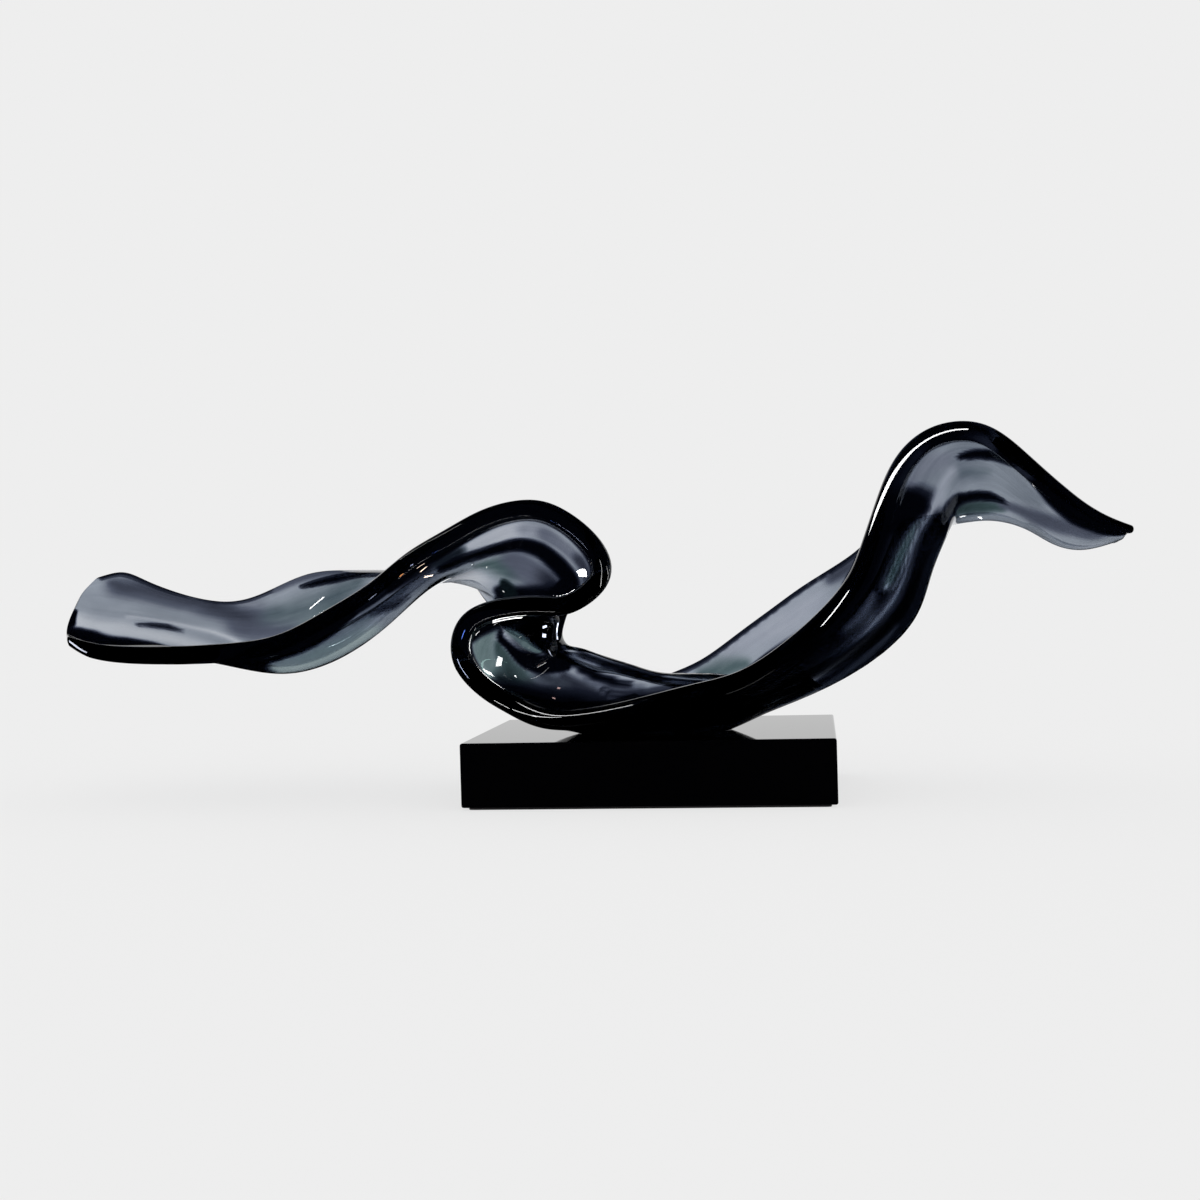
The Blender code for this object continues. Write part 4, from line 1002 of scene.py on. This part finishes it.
# Area lights: the two ends of each in millimetres, its width, the way it faces and its
# strength, then its tint where it isn't white and its spread in degrees where it is narrow.
# They hang close to the sculpture, so that each one shows in one place only.
LIGHTS = {
    "crest bar": ((97, -66, 215), (253, -158, 299), 24, (0.02, 0.05, -0.04), 30),
    "foot bar, left": ((-116, -83, 61), (-103, -84, 56), 2, (0.6, 0.6, 0.6), 16),
    "foot bar, corner": ((-100, -86, 57), (-78, -90, 63), 2, (0.2, 1, 0.5), 16),
    "foot bar, middle": ((-80, -90, 63), (-62, -85, 75), 2.5, (0, 1, 0.4), 16),
    "foot bar, right": ((-70, -100, 109), (-22, -97, 115), 9, (0, 1, -0.46), 9, "#ffffff", 90),
    "curl bar, upper": ((-31, -80, 170), (-24, -78, 157), 1.5, (-0.2, 1, 0.1), 10),
    "curl bar, lower": ((-24, -78, 157), (-16, -64, 138), 1.5, (-0.6, 0.4, 0.5), 10),
    "curl bar, inner": ((-8, -66, 165), (-10, -46, 147), 1.5, (-1, 0, 0.2), 6),
    "curl lamp": ((-70, -21.5, 150), (-59, -25.5, 157), 4, (1, -0.35, 0.3), 30),
    "trough lamp": ((-282, 34, 154), (-272, 38, 162), 1, (0.6, 0.1, -0.8), 20),
    "limb bar": ((125, -83, 112), (134, -83, 146), 4, (0, 1, 0.1), 30),
    "tongue bar": ((-505, -50, 100), (-490, -20, 120), 12, (1, 0, 0), 8, "#e8eeff"),
    "scoop lamp": ((-101.6, -29.7, 97), (-101.6, -29.7, 92.6), 3.5, (-1, 0.15, 0.3), 20),
    "scoop, green lamp": ((-108, -46, 97), (-103, -24, 96), 2, (-0.4, -0.8, -0.4), 4, "#bfe8e0"),
    "hood lamp": ((-124.5, 26.5, 133), (-123.5, 27.5, 133), 1, (0.5, -0.4, 0.75), 10),
    "tip lamp": ((240, 55, 170), (240, 60, 175), 1.5, (-0.02, -0.04, 0.01), 8),
    "neck bar": ((-107, -32, 108), (-90, -24, 109), 4, (0, -1, 0), 20),
    "neck lamp": ((-71, -3, 102), (-68, 3, 101.5), 1, (-0.5, -0.5, 0.65), 20, "#dfe8ff"),
    "neck lamp, right": ((-61.5, 22, 104.5), (-60.5, 24, 105.5), 1.5, (-0.6, -0.7, 0.35), 20, "#dfe8ff"),
    "floor lamp": ((-65, -12, 94.5), (-63, -12, 94.5), 0.7, (-0.3, 0.3, -0.9), 8, "#ffd6d0"),
    "limb spark, orange": ((-163, -70, 145), (-161, -70, 148), 2, (-0.4, 0.45, 0.8), 30, "#ffb070"),
    "limb spark, blue": ((-158, -76, 156), (-156, -76, 156), 2, (-0.3, 0.8, 0.5), 30, "#c8d4ff"),
    "limb spark, pale": ((-153, -37, 145), (-147, -29, 141), 1.5, (-0.3, -0.4, 0.85), 30, "#ffe6d0"),
    "curl spark": ((-124, -88, 115), (-122, -88, 118), 2, (0, 1, 0.1), 30, "#6890ff"),
    "limb edge bar": ((-185, -55, 185), (-139, -63, 212), 1, (0.6, 0.05, -0.8), 8),
    "lower curl bar": ((-165, -120, 70), (-170, -110, 100), 8, (0.03, 0.06, 0), 20, "#cfdcff"),
}
FLOOR_GLOW = 0.8
FLOOR_RADIUS = 30
FLOOR_SIDES = 96

# Tent of black card: a sphere, open between these angles from straight behind the sculpture
TENT_RADIUS = 4
TENT_SEGMENTS = 72
TENT_RINGS = 36
OPEN_TO_SIDES = 50
OPEN_DOWN_TO = -5
OPEN_UP_TO = 30

# Camera, fitted to the plinth's corners
CAMERA_PLACE = (0.1153, -1.1517, 0.1565)
CAMERA_YAW = math.radians(7.66)
CAMERA_PITCH = math.radians(0.83)
CAMERA_ROLL = math.radians(-1.62)
CAMERA_LENS = 48
CAMERA_SENSOR = 36


def add_camera():
    """The camera at the photograph's place."""
    data = bpy.data.cameras.new("camera")
    data.lens = CAMERA_LENS
    data.sensor_width = CAMERA_SENSOR
    camera = bpy.data.objects.new("camera", data)
    bpy.context.scene.collection.objects.link(camera)
    turn = (
        Matrix.Rotation(CAMERA_YAW, 4, "Z")
        @ Matrix.Rotation(math.pi / 2 - CAMERA_PITCH, 4, "X")
        @ Matrix.Rotation(CAMERA_ROLL, 4, "Z")
    )
    camera.matrix_world = Matrix.Translation(CAMERA_PLACE) @ turn
    bpy.context.scene.camera = camera


def add_surroundings(backdrop):
    """A plain pale light from all round."""
    world = bpy.data.worlds.new("studio")
    bpy.context.scene.world = world
    world.use_nodes = True
    world.node_tree.nodes["Background"].inputs["Color"].default_value = (*backdrop, 1)


def add_floor(backdrop):
    """Pale translucent table, lit from below, so that only a faint shadow shows on it."""
    material, tree, output = new_material("opal acrylic table, lit from below")
    paint = add_node(tree, "BsdfDiffuse", {"Color": (1, 1, 1, 1)})
    glow = add_node(tree, "Emission", {"Color": (*backdrop, 1), "Strength": 1.0})
    both = add_node(tree, "MixShader", {"Fac": FLOOR_GLOW}, {1: paint.outputs[0], 2: glow.outputs[0]})
    tree.links.new(both.outputs[0], output.inputs["Surface"])
    floor = shape_from(
        "circle", "floor", material, vertices=FLOOR_SIDES, radius=FLOOR_RADIUS, fill_type="NGON",
    )
    floor.visible_glossy = False


def add_tent():
    """Black cards all round but for the back, which only gloss sees."""
    material, tree, output = new_material("black card")
    card = add_node(tree, "BsdfDiffuse", {"Color": (0.0, 0.0, 0.0, 1)})
    tree.links.new(card.outputs[0], output.inputs["Surface"])
    tent = shape_from(
        "uv_sphere", "black_cards", material,
        segments=TENT_SEGMENTS, ring_count=TENT_RINGS, radius=TENT_RADIUS,
    )
    for face in tent.data.polygons:
        x, y, z = face.center.normalized()
        azimuth = math.degrees(math.atan2(x, y))
        elevation = math.degrees(math.asin(z))
        face.select = abs(azimuth) < OPEN_TO_SIDES and OPEN_DOWN_TO < elevation < OPEN_UP_TO
    edit_chosen(tent, "FACE")
    bpy.ops.mesh.delete(type="FACE")
    bpy.ops.object.mode_set(mode="OBJECT")
    seen_in_gloss_only(tent)
    tent.visible_shadow = False


def add_light(name, start, end, width, facing, strength, tint="#ffffff", spread=180):
    """A narrow area light from start to end, which only gloss sees."""
    start, end, facing = Vector(start) * MM, Vector(end) * MM, Vector(facing)
    along = (end - start).normalized()
    back = -(facing - facing.dot(along) * along).normalized()
    bpy.ops.object.light_add(type="AREA")
    lamp = bpy.context.object
    lamp.name = lamp.data.name = name
    lamp.data.shape = "RECTANGLE"
    lamp.data.size = (end - start).length
    lamp.data.size_y = width * MM
    lamp.data.color = linear(tint)
    lamp.data.spread = math.radians(spread)
    lamp.data.energy = math.pi * strength * lamp.data.size * lamp.data.size_y
    turn = Matrix((along, back.cross(along), back)).transposed().to_4x4()
    lamp.matrix_world = Matrix.Translation((start + end) / 2) @ turn
    seen_in_gloss_only(lamp)


def seen_in_gloss_only(item):
    """Hide a light or a card from all but reflections."""
    item.visible_camera = False
    item.visible_diffuse = False
    item.visible_transmission = False
    item.visible_volume_scatter = False


class WAVE_OT_stage(Operator):
    """Set up the floor, the lights and the camera"""
    bl_idname = "resin_wave.stage"
    bl_label = "Stage"

    def execute(self, context):
        context.scene.view_settings.view_transform = "Standard"
        backdrop = tuple(settings().backdrop)
        add_camera()
        add_surroundings(backdrop)
        add_floor(backdrop)
        add_tent()
        for name, light in LIGHTS.items():
            add_light(name, *light)
        return {"FINISHED"}


class WAVE_PT_panel(Panel):
    """Steps that dress the sculpture"""
    bl_idname = "WAVE_PT_panel"
    bl_label = "Resin wave"
    bl_space_type = "VIEW_3D"
    bl_region_type = "UI"
    bl_category = "Resin wave"

    def draw(self, context):
        for step in STEPS:
            self.layout.operator(step.bl_idname)


STEPS = (WAVE_OT_ribbon, WAVE_OT_plinth, WAVE_OT_felt, WAVE_OT_fixings, WAVE_OT_stage)
CLASSES = (ResinWaveSettings, *STEPS, WAVE_PT_panel)


def register():
    """Register the settings, the steps and the panel."""
    for item in CLASSES:
        bpy.utils.register_class(item)
    bpy.types.Scene.resin_wave = PointerProperty(type=ResinWaveSettings)


def unregister():
    """Take them away again."""
    del bpy.types.Scene.resin_wave
    for item in reversed(CLASSES):
        bpy.utils.unregister_class(item)


def main():
    """Run the steps in order."""
    register()
    for step in STEPS:
        group, name = step.bl_idname.split(".")
        getattr(getattr(bpy.ops, group), name)()


if __name__ == "__main__":
    main()
